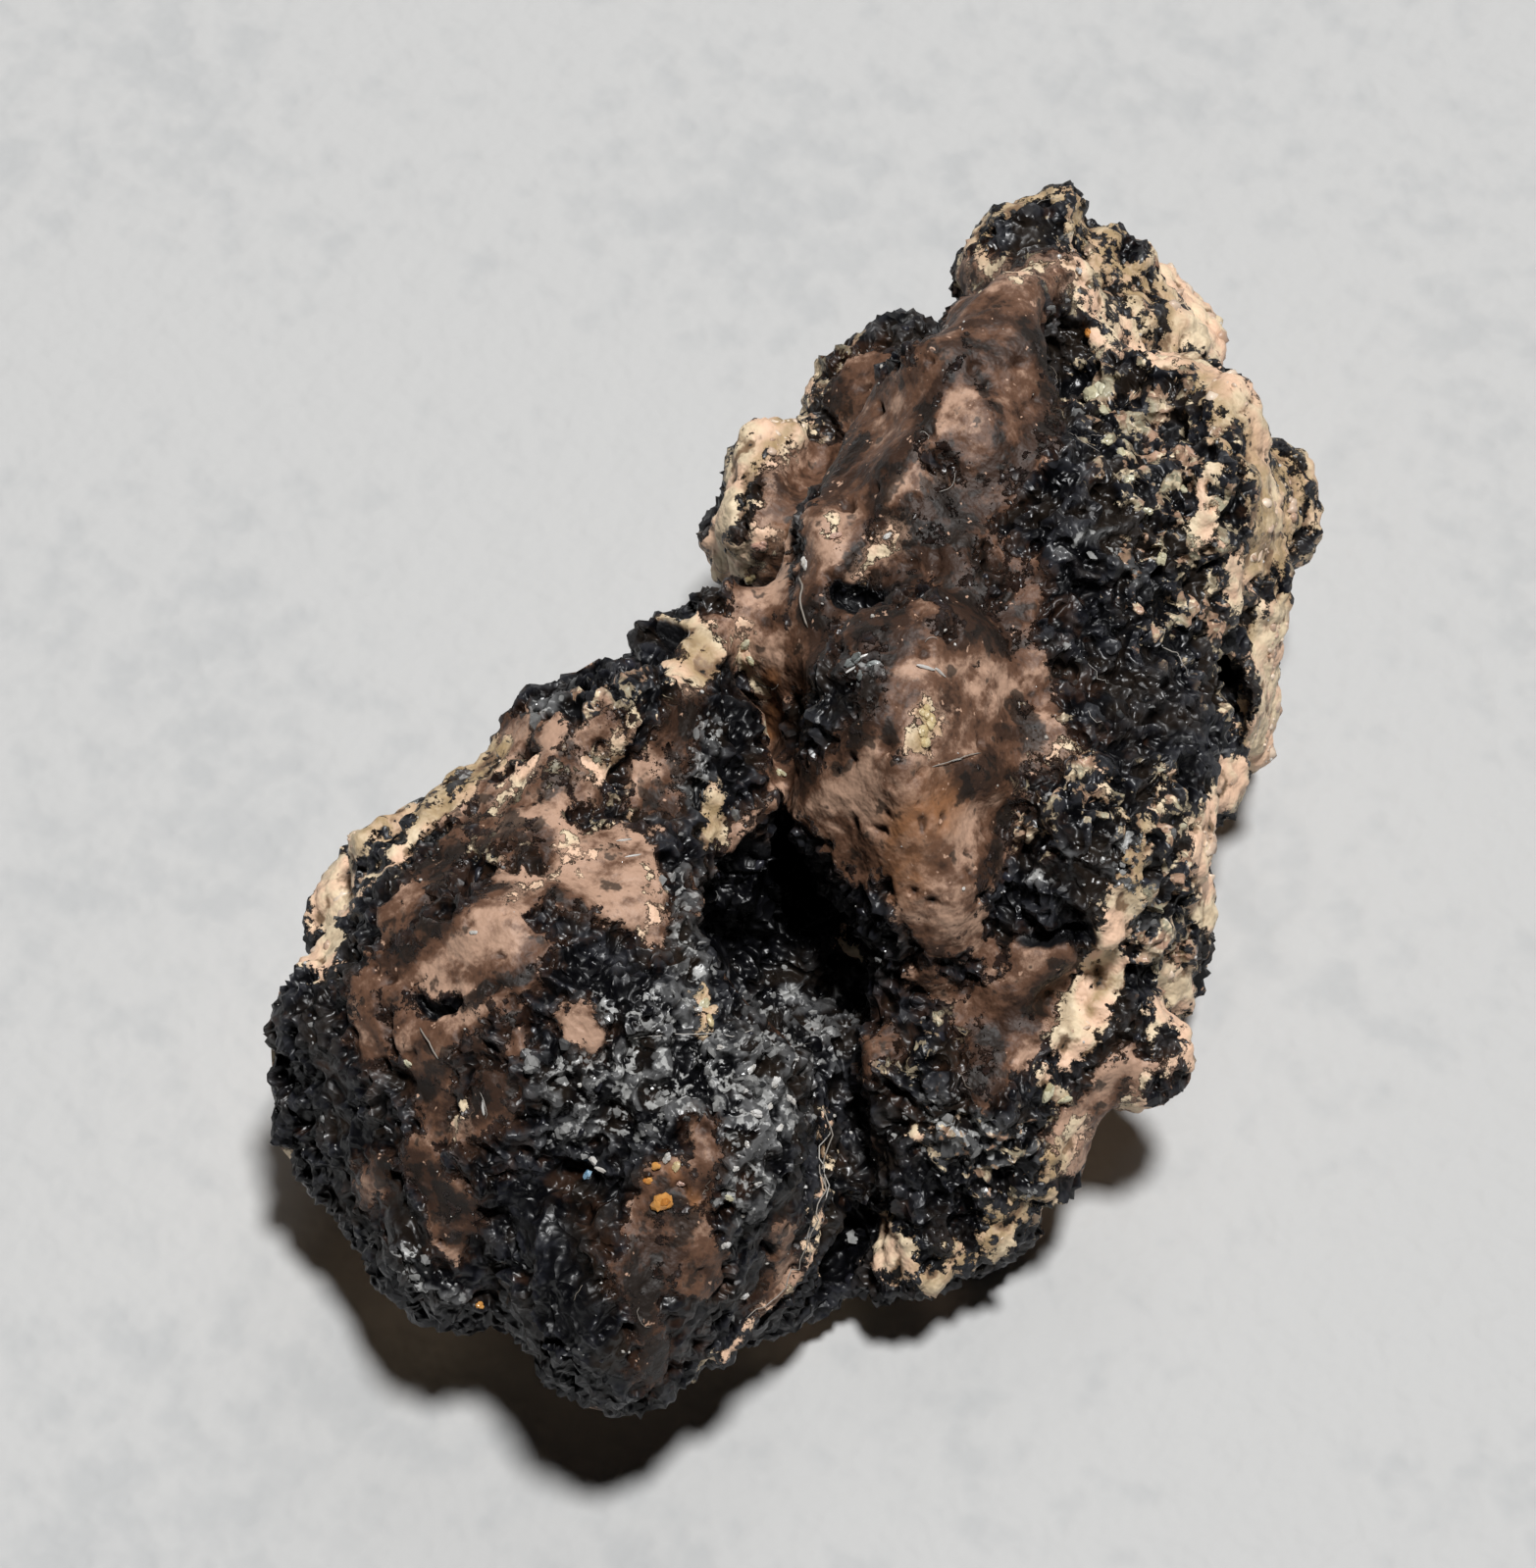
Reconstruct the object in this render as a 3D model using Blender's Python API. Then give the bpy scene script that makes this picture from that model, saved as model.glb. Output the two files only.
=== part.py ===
"""Inesite specimen: one lumpy stone, black manganese oxide grown over brown and flesh-pink inesite.

Run with: blender --background --python part.py

The stone is one solid. It is laid out as it lies, in millimetres, with X to the right, Y away
and Z up, as a pile of fused ellipsoid lumps. Ellipsoid bites are taken out of the pile for its
cleft, pits and undercuts. The skin is then blended, bent and roughened, thinned to a modest number
of triangles, cut flat where it rests, and turned so that its length lies along +Y. The origin is
on the surface that it rests on, below the middle of its bounding box.
"""

import math
from typing import NamedTuple

import bpy
import bmesh
from mathutils import Matrix, Vector, noise

# The stone's length in metres. Every other size follows from it and from the layout below.
LENGTH = 0.0325

# How far the long axis is turned from +Y towards +X in the layout.
TURN_TO_LENGTH = math.radians(30.0)

# Meshing. Lengths are in layout millimetres.
LUMP_SUBDIVISIONS = 4
SKIN_STEP = 0.28
BLEND_FACTOR = 0.5
BLEND_PASSES = 3
TRIANGLE_BUDGET = 9200
REST_PLANE_SNAP = 0.04
CUT_TOLERANCE = 1.0e-5

# Roughness of the skin. Rates are in waves per layout millimetre, sizes in layout millimetres.
BEND_RATE = 0.30
BEND_SIZE = 0.75
KNOB_RATE = 0.50
KNOB_SIZE = 0.85
BEAD_RATE = 1.20
BEAD_SIZE = 0.28
CREASE_LEVEL = 0.2
BEND_SEEDS = (Vector((3.1, 7.7, 1.3)), Vector((8.4, 2.9, 6.5)), Vector((1.6, 5.2, 9.7)))
KNOB_SEED = Vector((4.2, 1.4, 8.8))
BEAD_SEED = Vector((2.6, 8.1, 4.4))

# Edges sharper than this stay sharp in shading: the rims of the flats that the stone rests on.
SHARP_EDGE = math.radians(60.0)

# Finish of the bare solid: dull near-black oxide with a brown cast.
STONE_COLOUR = (0.065, 0.045, 0.038, 1.0)
STONE_ROUGHNESS = 0.6


class Lump(NamedTuple):
    """One ellipsoid: its centre, its three half-sizes, its turn about Z and lean about X in degrees."""

    name: str
    at: tuple[float, float, float]
    half: tuple[float, float, float]
    turn: float = 0.0
    lean: float = 0.0


# The far lobe, with its ridge, peak and boss.
HEAD = (
    Lump("head core", (5.9, 5.0, 5.6), (5.6, 8.0, 6.2)),
    Lump("head ridge", (4.2, 7.2, 8.4), (2.5, 5.8, 4.4), turn=-24),
    Lump("head ridge brow", (1.9, 4.6, 8.0), (1.7, 3.6, 3.6), turn=-28),
    Lump("ridge end", (6.4, 11.5, 8.5), (1.5, 2.0, 2.6)),
    Lump("head peak", (6.1, 13.8, 8.2), (1.6, 1.8, 2.4)),
    Lump("peak shoulder", (7.7, 13.6, 6.9), (1.8, 1.6, 2.1), turn=-20),
    Lump("peak skirt", (8.0, 12.0, 5.6), (2.9, 3.2, 3.2)),
    Lump("left ledge", (2.6, 10.6, 5.2), (2.2, 2.8, 3.0), turn=-35),
    Lump("left rim", (-0.3, 8.4, 5.8), (1.4, 2.0, 2.3)),
    Lump("black boss", (8.8, 6.6, 6.3), (3.5, 5.0, 5.0)),
    Lump("top right rim", (9.3, 14.0, 4.4), (1.5, 2.2, 1.8), turn=35),
    Lump("top right knob", (9.9, 11.8, 3.9), (1.0, 1.0, 1.3)),
    Lump("right crest", (11.7, 8.5, 5.2), (1.4, 2.3, 2.6), turn=10),
    Lump("right rim", (10.8, 4.1, 3.4), (1.2, 2.4, 2.3)),
    Lump("right lower rim", (9.1, -1.9, 3.6), (1.3, 2.7, 2.4)),
)

# The nose that overhangs the cleft, the shoulder beside it and the heel below them.
NOSE_AND_HEEL = (
    Lump("nose", (3.2, -0.6, 8.6), (3.1, 3.6, 4.5), turn=-12),
    Lump("nose tip", (3.3, -3.2, 8.2), (1.9, 2.3, 3.2)),
    Lump("right shoulder", (7.0, -1.9, 7.0), (2.9, 3.5, 4.2)),
    Lump("shoulder foot", (6.0, -4.8, 5.4), (2.1, 2.6, 3.4), lean=-20),
    Lump("heel", (3.8, -6.5, 3.2), (3.3, 3.6, 4.0)),
    Lump("heel toe", (2.6, -9.0, 2.2), (2.8, 2.5, 2.4)),
    Lump("heel rim", (7.2, -4.9, 4.9), (1.9, 2.6, 2.7)),
    Lump("heel knob", (8.7, -6.6, 4.7), (1.0, 1.0, 1.2)),
    Lump("heel spur", (6.4, -7.0, 4.7), (1.2, 1.1, 1.4)),
    Lump("heel lip", (5.3, -8.2, 3.9), (1.6, 1.6, 1.6)),
)

# The near lobe, and the saddle that joins it to the far one.
FOOT = (
    Lump("saddle", (-1.6, 2.1, 5.4), (2.9, 3.1, 4.5)),
    Lump("foot core", (-4.8, -6.2, 5.4), (6.2, 6.4, 6.0)),
    Lump("foot shoulder", (-6.5, -3.2, 5.6), (3.8, 3.4, 4.5)),
    Lump("foot ridge", (-3.9, -0.9, 6.4), (3.9, 2.6, 4.6), turn=35),
    Lump("foot wall", (-3.4, -5.4, 7.4), (2.2, 3.6, 3.9), turn=10),
    Lump("foot tip", (-3.7, -12.3, 5.4), (2.8, 2.9, 3.4), turn=-20),
    Lump("foot prow", (-3.3, -11.8, 7.0), (1.1, 3.6, 1.5), lean=52),
    Lump("foot cheek", (-6.8, -10.1, 4.6), (3.0, 3.0, 3.5), turn=30),
    Lump("foot flank", (-8.9, -7.1, 5.0), (2.8, 3.7, 4.0)),
    Lump("foot dome", (-1.5, -9.6, 5.9), (2.5, 3.8, 4.5)),
    Lump("foot sole", (-0.5, -10.1, 2.4), (2.6, 2.1, 2.2)),
    Lump("foot left rim", (-9.9, -2.4, 4.4), (1.3, 1.8, 1.7), turn=-35),
    Lump("floor of the cleft", (1.2, -3.5, 2.4), (3.8, 3.8, 2.7)),
    Lump("web", (-1.5, -2.4, 7.2), (0.5, 2.0, 2.4), turn=-37),
)

# The cleft between the lobes, and what runs into it.
CLEFT = (
    Lump("cleft hole", (-0.2, -5.3, 8.8), (2.1, 2.9, 4.6), turn=-12),
    Lump("cleft under the nose", (0.9, -4.7, 6.0), (1.7, 1.5, 1.9), turn=-20),
    Lump("slit", (-0.7, 0.6, 9.4), (0.55, 1.7, 3.6), turn=12),
    Lump("channel", (1.3, -8.6, 6.6), (0.7, 3.0, 3.2), turn=4),
    Lump("gap by the heel", (1.7, -10.8, 4.0), (1.0, 1.8, 2.8), turn=-10),
)

# Pits, recesses and grooves in the weathered top.
PITS = (
    Lump("pit below the brow", (1.9, 1.6, 12.0), (0.9, 0.5, 1.8)),
    Lump("basin in the foot", (-3.6, -7.0, 12.6), (1.7, 1.2, 2.2), turn=15),
    Lump("pit in the saddle", (-2.7, 3.3, 8.6), (0.6, 0.8, 1.4)),
    Lump("recess left of the head", (0.5, 9.0, 9.6), (0.8, 2.2, 3.0), turn=-20),
    Lump("recess below the peak", (3.2, 11.6, 10.4), (1.1, 1.4, 2.4), turn=-30),
    Lump("recess right of the ridge", (6.9, 9.6, 11.8), (0.8, 2.0, 2.4), turn=-8),
    Lump("gully beside the ridge", (2.5, 7.6, 13.0), (0.5, 2.8, 2.2), turn=-24),
    Lump("basin of the boss", (8.7, 7.9, 13.2), (1.6, 3.4, 3.2), turn=8),
    Lump("undercut of the shoulder", (6.8, -5.8, 7.4), (1.8, 0.8, 1.0), turn=20),
    Lump("groove inside the right rim", (10.5, 1.6, 6.8), (0.45, 3.4, 1.4), turn=6),
    Lump("groove above the heel knob", (8.0, -7.0, 7.0), (1.1, 0.7, 1.2), turn=30),
    Lump("groove inside the left rim", (-9.0, -2.6, 8.4), (0.45, 2.8, 1.6), turn=-42),
)

# Broad scoops low on the sides.
SCOOPS = (
    Lump("scoop left of the saddle", (-6.4, 5.2, 1.4), (3.4, 5.0, 3.0), turn=-40),
    Lump("scoop behind the head", (4.0, 18.0, 2.4), (6.0, 4.0, 4.2)),
    Lump("scoop under the left flank", (-13.6, -9.6, 0.4), (4.2, 5.0, 3.0)),
)


def clear_scene() -> None:
    """Removes every object that is already in the file."""
    for thing in list(bpy.data.objects):
        bpy.data.objects.remove(thing, do_unlink=True)


def ellipsoids(lumps: tuple[Lump, ...], name: str) -> bpy.types.Object:
    """An object of overlapping closed ellipsoids."""
    pile = bmesh.new()
    for lump in lumps:
        place = (
            Matrix.Translation(lump.at)
            @ Matrix.Rotation(math.radians(lump.turn), 4, "Z")
            @ Matrix.Rotation(math.radians(lump.lean), 4, "X")
            @ Matrix.Diagonal((*lump.half, 1.0))
        )
        bmesh.ops.create_icosphere(pile, subdivisions=LUMP_SUBDIVISIONS, radius=1.0, matrix=place)
    mesh = bpy.data.meshes.new(name)
    pile.to_mesh(mesh)
    pile.free()
    thing = bpy.data.objects.new(name, mesh)
    bpy.context.scene.collection.objects.link(thing)
    return thing


def add_skin(thing: bpy.types.Object) -> None:
    """Adds the modifier that fuses overlapping bodies into one even skin."""
    remesh = thing.modifiers.new("skin", "REMESH")
    remesh.mode = "VOXEL"
    remesh.voxel_size = SKIN_STEP


def settle(thing: bpy.types.Object) -> None:
    """Replaces an object's mesh with what its modifiers make of it."""
    graph = bpy.context.evaluated_depsgraph_get()
    made = bpy.data.meshes.new_from_object(thing.evaluated_get(graph))
    thing.modifiers.clear()
    thing.data = made


def carved_pile() -> bpy.types.Object:
    """The lumps as one skin, less the bites, with the creases blended."""
    stone = ellipsoids(HEAD + NOSE_AND_HEEL + FOOT, "stone")
    add_skin(stone)
    bites = ellipsoids(CLEFT + PITS + SCOOPS, "bites")
    add_skin(bites)
    cut = stone.modifiers.new("bites", "BOOLEAN")
    cut.operation = "DIFFERENCE"
    cut.solver = "EXACT"
    cut.object = bites
    add_skin(stone)
    blend = stone.modifiers.new("blend", "SMOOTH")
    blend.factor = BLEND_FACTOR
    blend.iterations = BLEND_PASSES
    settle(stone)
    bpy.data.objects.remove(bites, do_unlink=True)
    return stone


def bend_at(p: Vector) -> Vector:
    """How far the skin is bent sideways at a point of the layout."""
    along = [noise.noise(p * BEND_RATE + seed) for seed in BEND_SEEDS]
    return Vector(along) * BEND_SIZE


def roughen(mesh: bpy.types.Mesh) -> None:
    """Bends the skin out of its even ovals, and raises knobs and beads along its normals."""
    moves = []
    for point in mesh.vertices:
        p = point.co
        knobs = abs(noise.noise(p * KNOB_RATE + KNOB_SEED)) - CREASE_LEVEL
        beads = abs(noise.noise(p * BEAD_RATE + BEAD_SEED)) - CREASE_LEVEL
        moves.append(p + bend_at(p) + point.normal * (KNOB_SIZE * knobs + BEAD_SIZE * beads))
    for point, moved in zip(mesh.vertices, moves):
        point.co = moved


def thin_out(thing: bpy.types.Object) -> None:
    """Merges triangles until the budget is met, flat ground first."""
    thing.data.calc_loop_triangles()
    decimate = thing.modifiers.new("thin out", "DECIMATE")
    decimate.ratio = TRIANGLE_BUDGET / len(thing.data.loop_triangles)
    decimate.use_collapse_triangulate = True
    settle(thing)


def cut_flat(mesh: bpy.types.Mesh) -> None:
    """Cuts the underside away at the layout's floor and closes each opening with a flat face."""
    shape = bmesh.new()
    shape.from_mesh(mesh)
    for point in shape.verts:
        if abs(point.co.z) < REST_PLANE_SNAP:
            point.co.z = 0.0
    cut = bmesh.ops.bisect_plane(
        shape,
        geom=shape.verts[:] + shape.edges[:] + shape.faces[:],
        dist=CUT_TOLERANCE,
        plane_co=(0.0, 0.0, 0.0),
        plane_no=(0.0, 0.0, 1.0),
        clear_inner=True,
    )
    rim = [piece for piece in cut["geom_cut"] if isinstance(piece, bmesh.types.BMEdge)]
    for point in {corner for edge in rim for corner in edge.verts}:
        point.co.z = 0.0
    bmesh.ops.holes_fill(shape, edges=rim, sides=0)
    bmesh.ops.recalc_face_normals(shape, faces=shape.faces)
    shape.to_mesh(mesh)
    shape.free()


def placement(mesh: bpy.types.Mesh) -> Matrix:
    """From the layout to the real frame: turned, at real size, its origin below the middle."""
    turn = Matrix.Rotation(TURN_TO_LENGTH, 4, "Z")
    turned = [turn @ point.co for point in mesh.vertices]
    low = Vector(min(p[axis] for p in turned) for axis in range(3))
    high = Vector(max(p[axis] for p in turned) for axis in range(3))
    middle = Vector(((low.x + high.x) / 2, (low.y + high.y) / 2, low.z))
    scale = LENGTH / (high.y - low.y)
    return Matrix.Scale(scale, 4) @ Matrix.Translation(-middle) @ turn


def stone_material() -> bpy.types.Material:
    """The plain finish of the solid."""
    material = bpy.data.materials.new("oxide on inesite")
    material.use_nodes = True
    shader = material.node_tree.nodes["Principled BSDF"]
    shader.inputs["Base Color"].default_value = STONE_COLOUR
    shader.inputs["Roughness"].default_value = STONE_ROUGHNESS
    shader.inputs["Metallic"].default_value = 0.0
    return material


def main() -> None:
    """Builds the stone."""
    clear_scene()
    stone = carved_pile()
    roughen(stone.data)
    thin_out(stone)
    cut_flat(stone.data)
    stone.data.transform(placement(stone.data))
    stone.data.shade_smooth()
    stone.data.set_sharp_from_angle(angle=SHARP_EDGE)
    stone.data.materials.append(stone_material())


main()
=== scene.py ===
"""Inesite specimen: the stone's fine skin, its crust, crystals and clinging grains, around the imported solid.

Meshes are worked out in millimetres in the frame's axes, and put into the scene in metres.
"""

import logging
import math
from collections.abc import Sequence
from dataclasses import dataclass, field
from enum import Enum
from typing import NamedTuple

import bmesh
import bpy
import numpy as np
from mathutils import Matrix, Vector
from mathutils.bvhtree import BVHTree


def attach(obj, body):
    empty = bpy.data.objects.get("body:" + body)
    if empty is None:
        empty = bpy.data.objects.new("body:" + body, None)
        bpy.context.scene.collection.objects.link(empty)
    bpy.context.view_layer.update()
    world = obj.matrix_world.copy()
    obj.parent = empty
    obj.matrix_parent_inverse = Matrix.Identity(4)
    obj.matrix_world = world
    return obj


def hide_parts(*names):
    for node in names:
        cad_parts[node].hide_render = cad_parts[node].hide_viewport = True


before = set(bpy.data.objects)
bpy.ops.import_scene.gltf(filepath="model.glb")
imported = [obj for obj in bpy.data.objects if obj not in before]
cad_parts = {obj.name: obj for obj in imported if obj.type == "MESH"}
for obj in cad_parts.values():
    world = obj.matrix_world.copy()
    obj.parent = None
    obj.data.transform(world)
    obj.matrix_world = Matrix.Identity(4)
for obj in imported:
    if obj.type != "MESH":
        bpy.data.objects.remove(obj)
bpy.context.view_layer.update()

LOG = logging.getLogger("inesite")
MM = 0.001

DENTS = (0.80, 1.18)

Pixel = tuple[int, int]
Colour = tuple[float, float, float]


def direction(azimuth: float, elevation: float) -> np.ndarray:
    """The unit direction towards an azimuth and an elevation in degrees, counted as the camera's are."""
    a, e = math.radians(azimuth), math.radians(elevation)
    return np.array((math.sin(a) * math.cos(e), -math.cos(a) * math.cos(e), math.sin(e)))


@dataclass(frozen=True)
class PhotographView:
    """The photograph's camera: lengths in millimetres, angles in degrees, and pixels of the photograph."""

    image: tuple[int, int] = (1566, 1599)
    target: tuple[float, float, float] = (-1.436, -1.615, 5.169)
    target_pixel: tuple[float, float] = (800.0, 820.0)
    pixel_size: float = 0.02209
    distance: float = 122.2
    azimuth: float = 30.0
    elevation: float = 60.0
    sensor: float = 36.0

    @property
    def back(self) -> np.ndarray:
        """From the target towards the camera."""
        return direction(self.azimuth, self.elevation)

    @property
    def right(self) -> np.ndarray:
        """To the right in the picture."""
        a = math.radians(self.azimuth)
        return np.array((math.cos(a), math.sin(a), 0.0))

    @property
    def up(self) -> np.ndarray:
        """Upwards in the picture."""
        return np.cross(self.back, self.right)

    @property
    def eye(self) -> np.ndarray:
        """The camera's own place."""
        return np.array(self.target) + self.back * self.distance

    def on_plane(self, pixels: Sequence[Pixel]) -> np.ndarray:
        """Where pixels lie on the plane through the target.

        Args:
            pixels: Pixels of the photograph.

        Returns:
            Millimetres across and up from the target, one row for each pixel.
        """
        offset = np.array(pixels, float) - self.target_pixel
        return offset * (self.pixel_size, -self.pixel_size)

    def seen(self, points: np.ndarray) -> np.ndarray:
        """Where points appear in the picture.

        Args:
            points: Points in the frame, one row each.

        Returns:
            Millimetres across and up on the plane through the target, and millimetres nearer than it.
        """
        away = points - self.eye
        depth = -(away @ self.back)
        grow = self.distance / depth
        return np.stack((away @ self.right * grow, away @ self.up * grow, self.distance - depth), 1)

    def sight(self, pixel: Pixel) -> Vector:
        """The direction from the camera through a pixel."""
        across, up = self.on_plane((pixel,))[0]
        return Vector(self.right * across + self.up * up - self.back * self.distance).normalized()

    def shown(self, tree: BVHTree, pixel: Pixel) -> tuple[Vector | None, Vector | None]:
        """Finds what a pixel shows.

        Args:
            tree: A search tree over the skin.
            pixel: A pixel of the photograph.

        Returns:
            The place on the skin and the normal there, or None for both.
        """
        return tree.ray_cast(Vector(self.eye), self.sight(pixel))[:2]

    def build(self) -> None:
        """Adds the camera and makes it the scene's."""
        width, height = self.image
        lens = bpy.data.cameras.new("photograph")
        lens.sensor_width = self.sensor
        lens.lens = self.sensor * self.distance / (height * self.pixel_size)
        lens.shift_x = (width / 2 - self.target_pixel[0]) / height
        lens.shift_y = (self.target_pixel[1] - height / 2) / height
        lens.clip_start = MM
        camera = bpy.data.objects.new("photograph", lens)
        camera.matrix_world = Matrix.Translation(self.eye * MM) @ (
            Vector(self.back).to_track_quat("Z", "Y").to_matrix().to_4x4()
        )
        bpy.context.scene.collection.objects.link(camera)
        bpy.context.scene.camera = camera


class Grain:
    """Repeatable noise for whole arrays of points."""

    TABLE = 256
    STRETCH = 1.6
    LAYER_SHIFT = 17.3

    def __init__(self, seed: int) -> None:
        """Draws the tables.

        Args:
            seed: Picks one pattern.
        """
        draw = np.random.default_rng(seed)
        self.order = draw.permutation(self.TABLE)
        slopes = draw.normal(size=(self.TABLE, 3))
        self.slopes = slopes / np.linalg.norm(slopes, axis=1, keepdims=True)
        self.spots = draw.random((self.TABLE, 3))
        self.tags = draw.random(self.TABLE)

    def _pick(self, cell: np.ndarray) -> np.ndarray:
        """The table entry of each whole-numbered cell."""
        i, j, k = (cell % self.TABLE).T
        return self.order[(self.order[(self.order[i] + j) % self.TABLE] + k) % self.TABLE]

    def waves(self, points: np.ndarray) -> np.ndarray:
        """Smooth noise, from about -1 to 1, with one swing in each unit."""
        base = np.floor(points).astype(np.int64)
        part = points - base
        soft = part * part * part * (part * (part * 6 - 15) + 10)
        total = np.zeros(len(points))
        for corner in np.ndindex(2, 2, 2):
            offset = np.array(corner)
            slope = self.slopes[self._pick(base + offset)]
            share = np.prod(np.where(offset == 1, soft, 1 - soft), axis=1)
            total += share * np.einsum("ij,ij->i", slope, part - offset)
        return total * self.STRETCH

    def layers(self, points: np.ndarray, rate: float, count: int = 3, gain: float = 0.5) -> np.ndarray:
        """Several octaves of waves.

        Args:
            points: Points in millimetres.
            rate: Waves in each millimetre of the first octave.
            count: How many octaves.
            gain: Each octave's height over the one before.

        Returns:
            Noise from about -1 to 1.
        """
        heights = gain ** np.arange(count)
        shift = self.LAYER_SHIFT
        parts = [self.waves(points * rate * 2**n + shift * n) * heights[n] for n in range(count)]
        return np.sum(parts, axis=0) / heights.sum()

    def cells(self, points: np.ndarray, rate: float) -> tuple[np.ndarray, np.ndarray]:
        """Scattered spots.

        Args:
            points: Points in millimetres.
            rate: Spots along each millimetre.

        Returns:
            Distance to the nearest spot, in spot spacings, and that spot's own number, from 0 to 1.
        """
        where = points * rate
        base = np.floor(where).astype(np.int64)
        near = np.full(len(points), np.inf)
        tag = np.zeros(len(points))
        for corner in np.ndindex(3, 3, 3):
            cell = base + np.array(corner) - 1
            pick = self._pick(cell)
            gap = np.linalg.norm(cell + self.spots[pick] - where, axis=1)
            tag = np.where(gap < near, self.tags[pick], tag)
            near = np.minimum(near, gap)
        return near, tag


def ease(value: np.ndarray, low: float, high: float) -> np.ndarray:
    """A smooth step from 0 at low to 1 at high."""
    t = np.clip((value - low) / (high - low), 0.0, 1.0)
    return t * t * (3 - 2 * t)


class Coat(Enum):
    """What a stroke lays on the skin."""

    CRUST = "black oxide"
    FLESH = "brown waxy inesite"
    PALE = "pink and cream inesite"
    # Lighter flesh; some of its strokes are painted highlights.
    LIGHT = "lighter flesh"
    DEEP = "darker, brown-black flesh"
    WARM = "orange tinge"
    # Grey oxide; its field also strengthens the painted sheen and painted glints in the crust's colour.
    SILVER = "grey sparkling oxide"
    SPECKLE = "cream specks in the crust"
    STAIN = "brown film on the crust"
    OCHRE = "yellowish stain"
    GLAZE = "smooth, glossy oxide"
    # Also painted near-black: painted shade in the hole.
    PIT_AND_SHADE = "a hole in the skin"
    RAISE = "a raised crest"


BODIES = (Coat.CRUST, Coat.FLESH, Coat.PALE)


class Stroke(NamedTuple):
    """One stroke along pixels of the photograph, with its half-width in millimetres."""

    name: str
    coat: Coat
    reach: float
    path: tuple[Pixel, ...]


def strokes(coat: Coat, *rows: tuple) -> tuple[Stroke, ...]:
    """Strokes of one coat.

    Args:
        coat: What they lay on the skin.
        rows: Each stroke's name, its half-width in millimetres, and its pixels.

    Returns:
        The strokes, in the same order.
    """
    return tuple(Stroke(name, coat, reach, tuple(path)) for name, reach, *path in rows)


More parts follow.
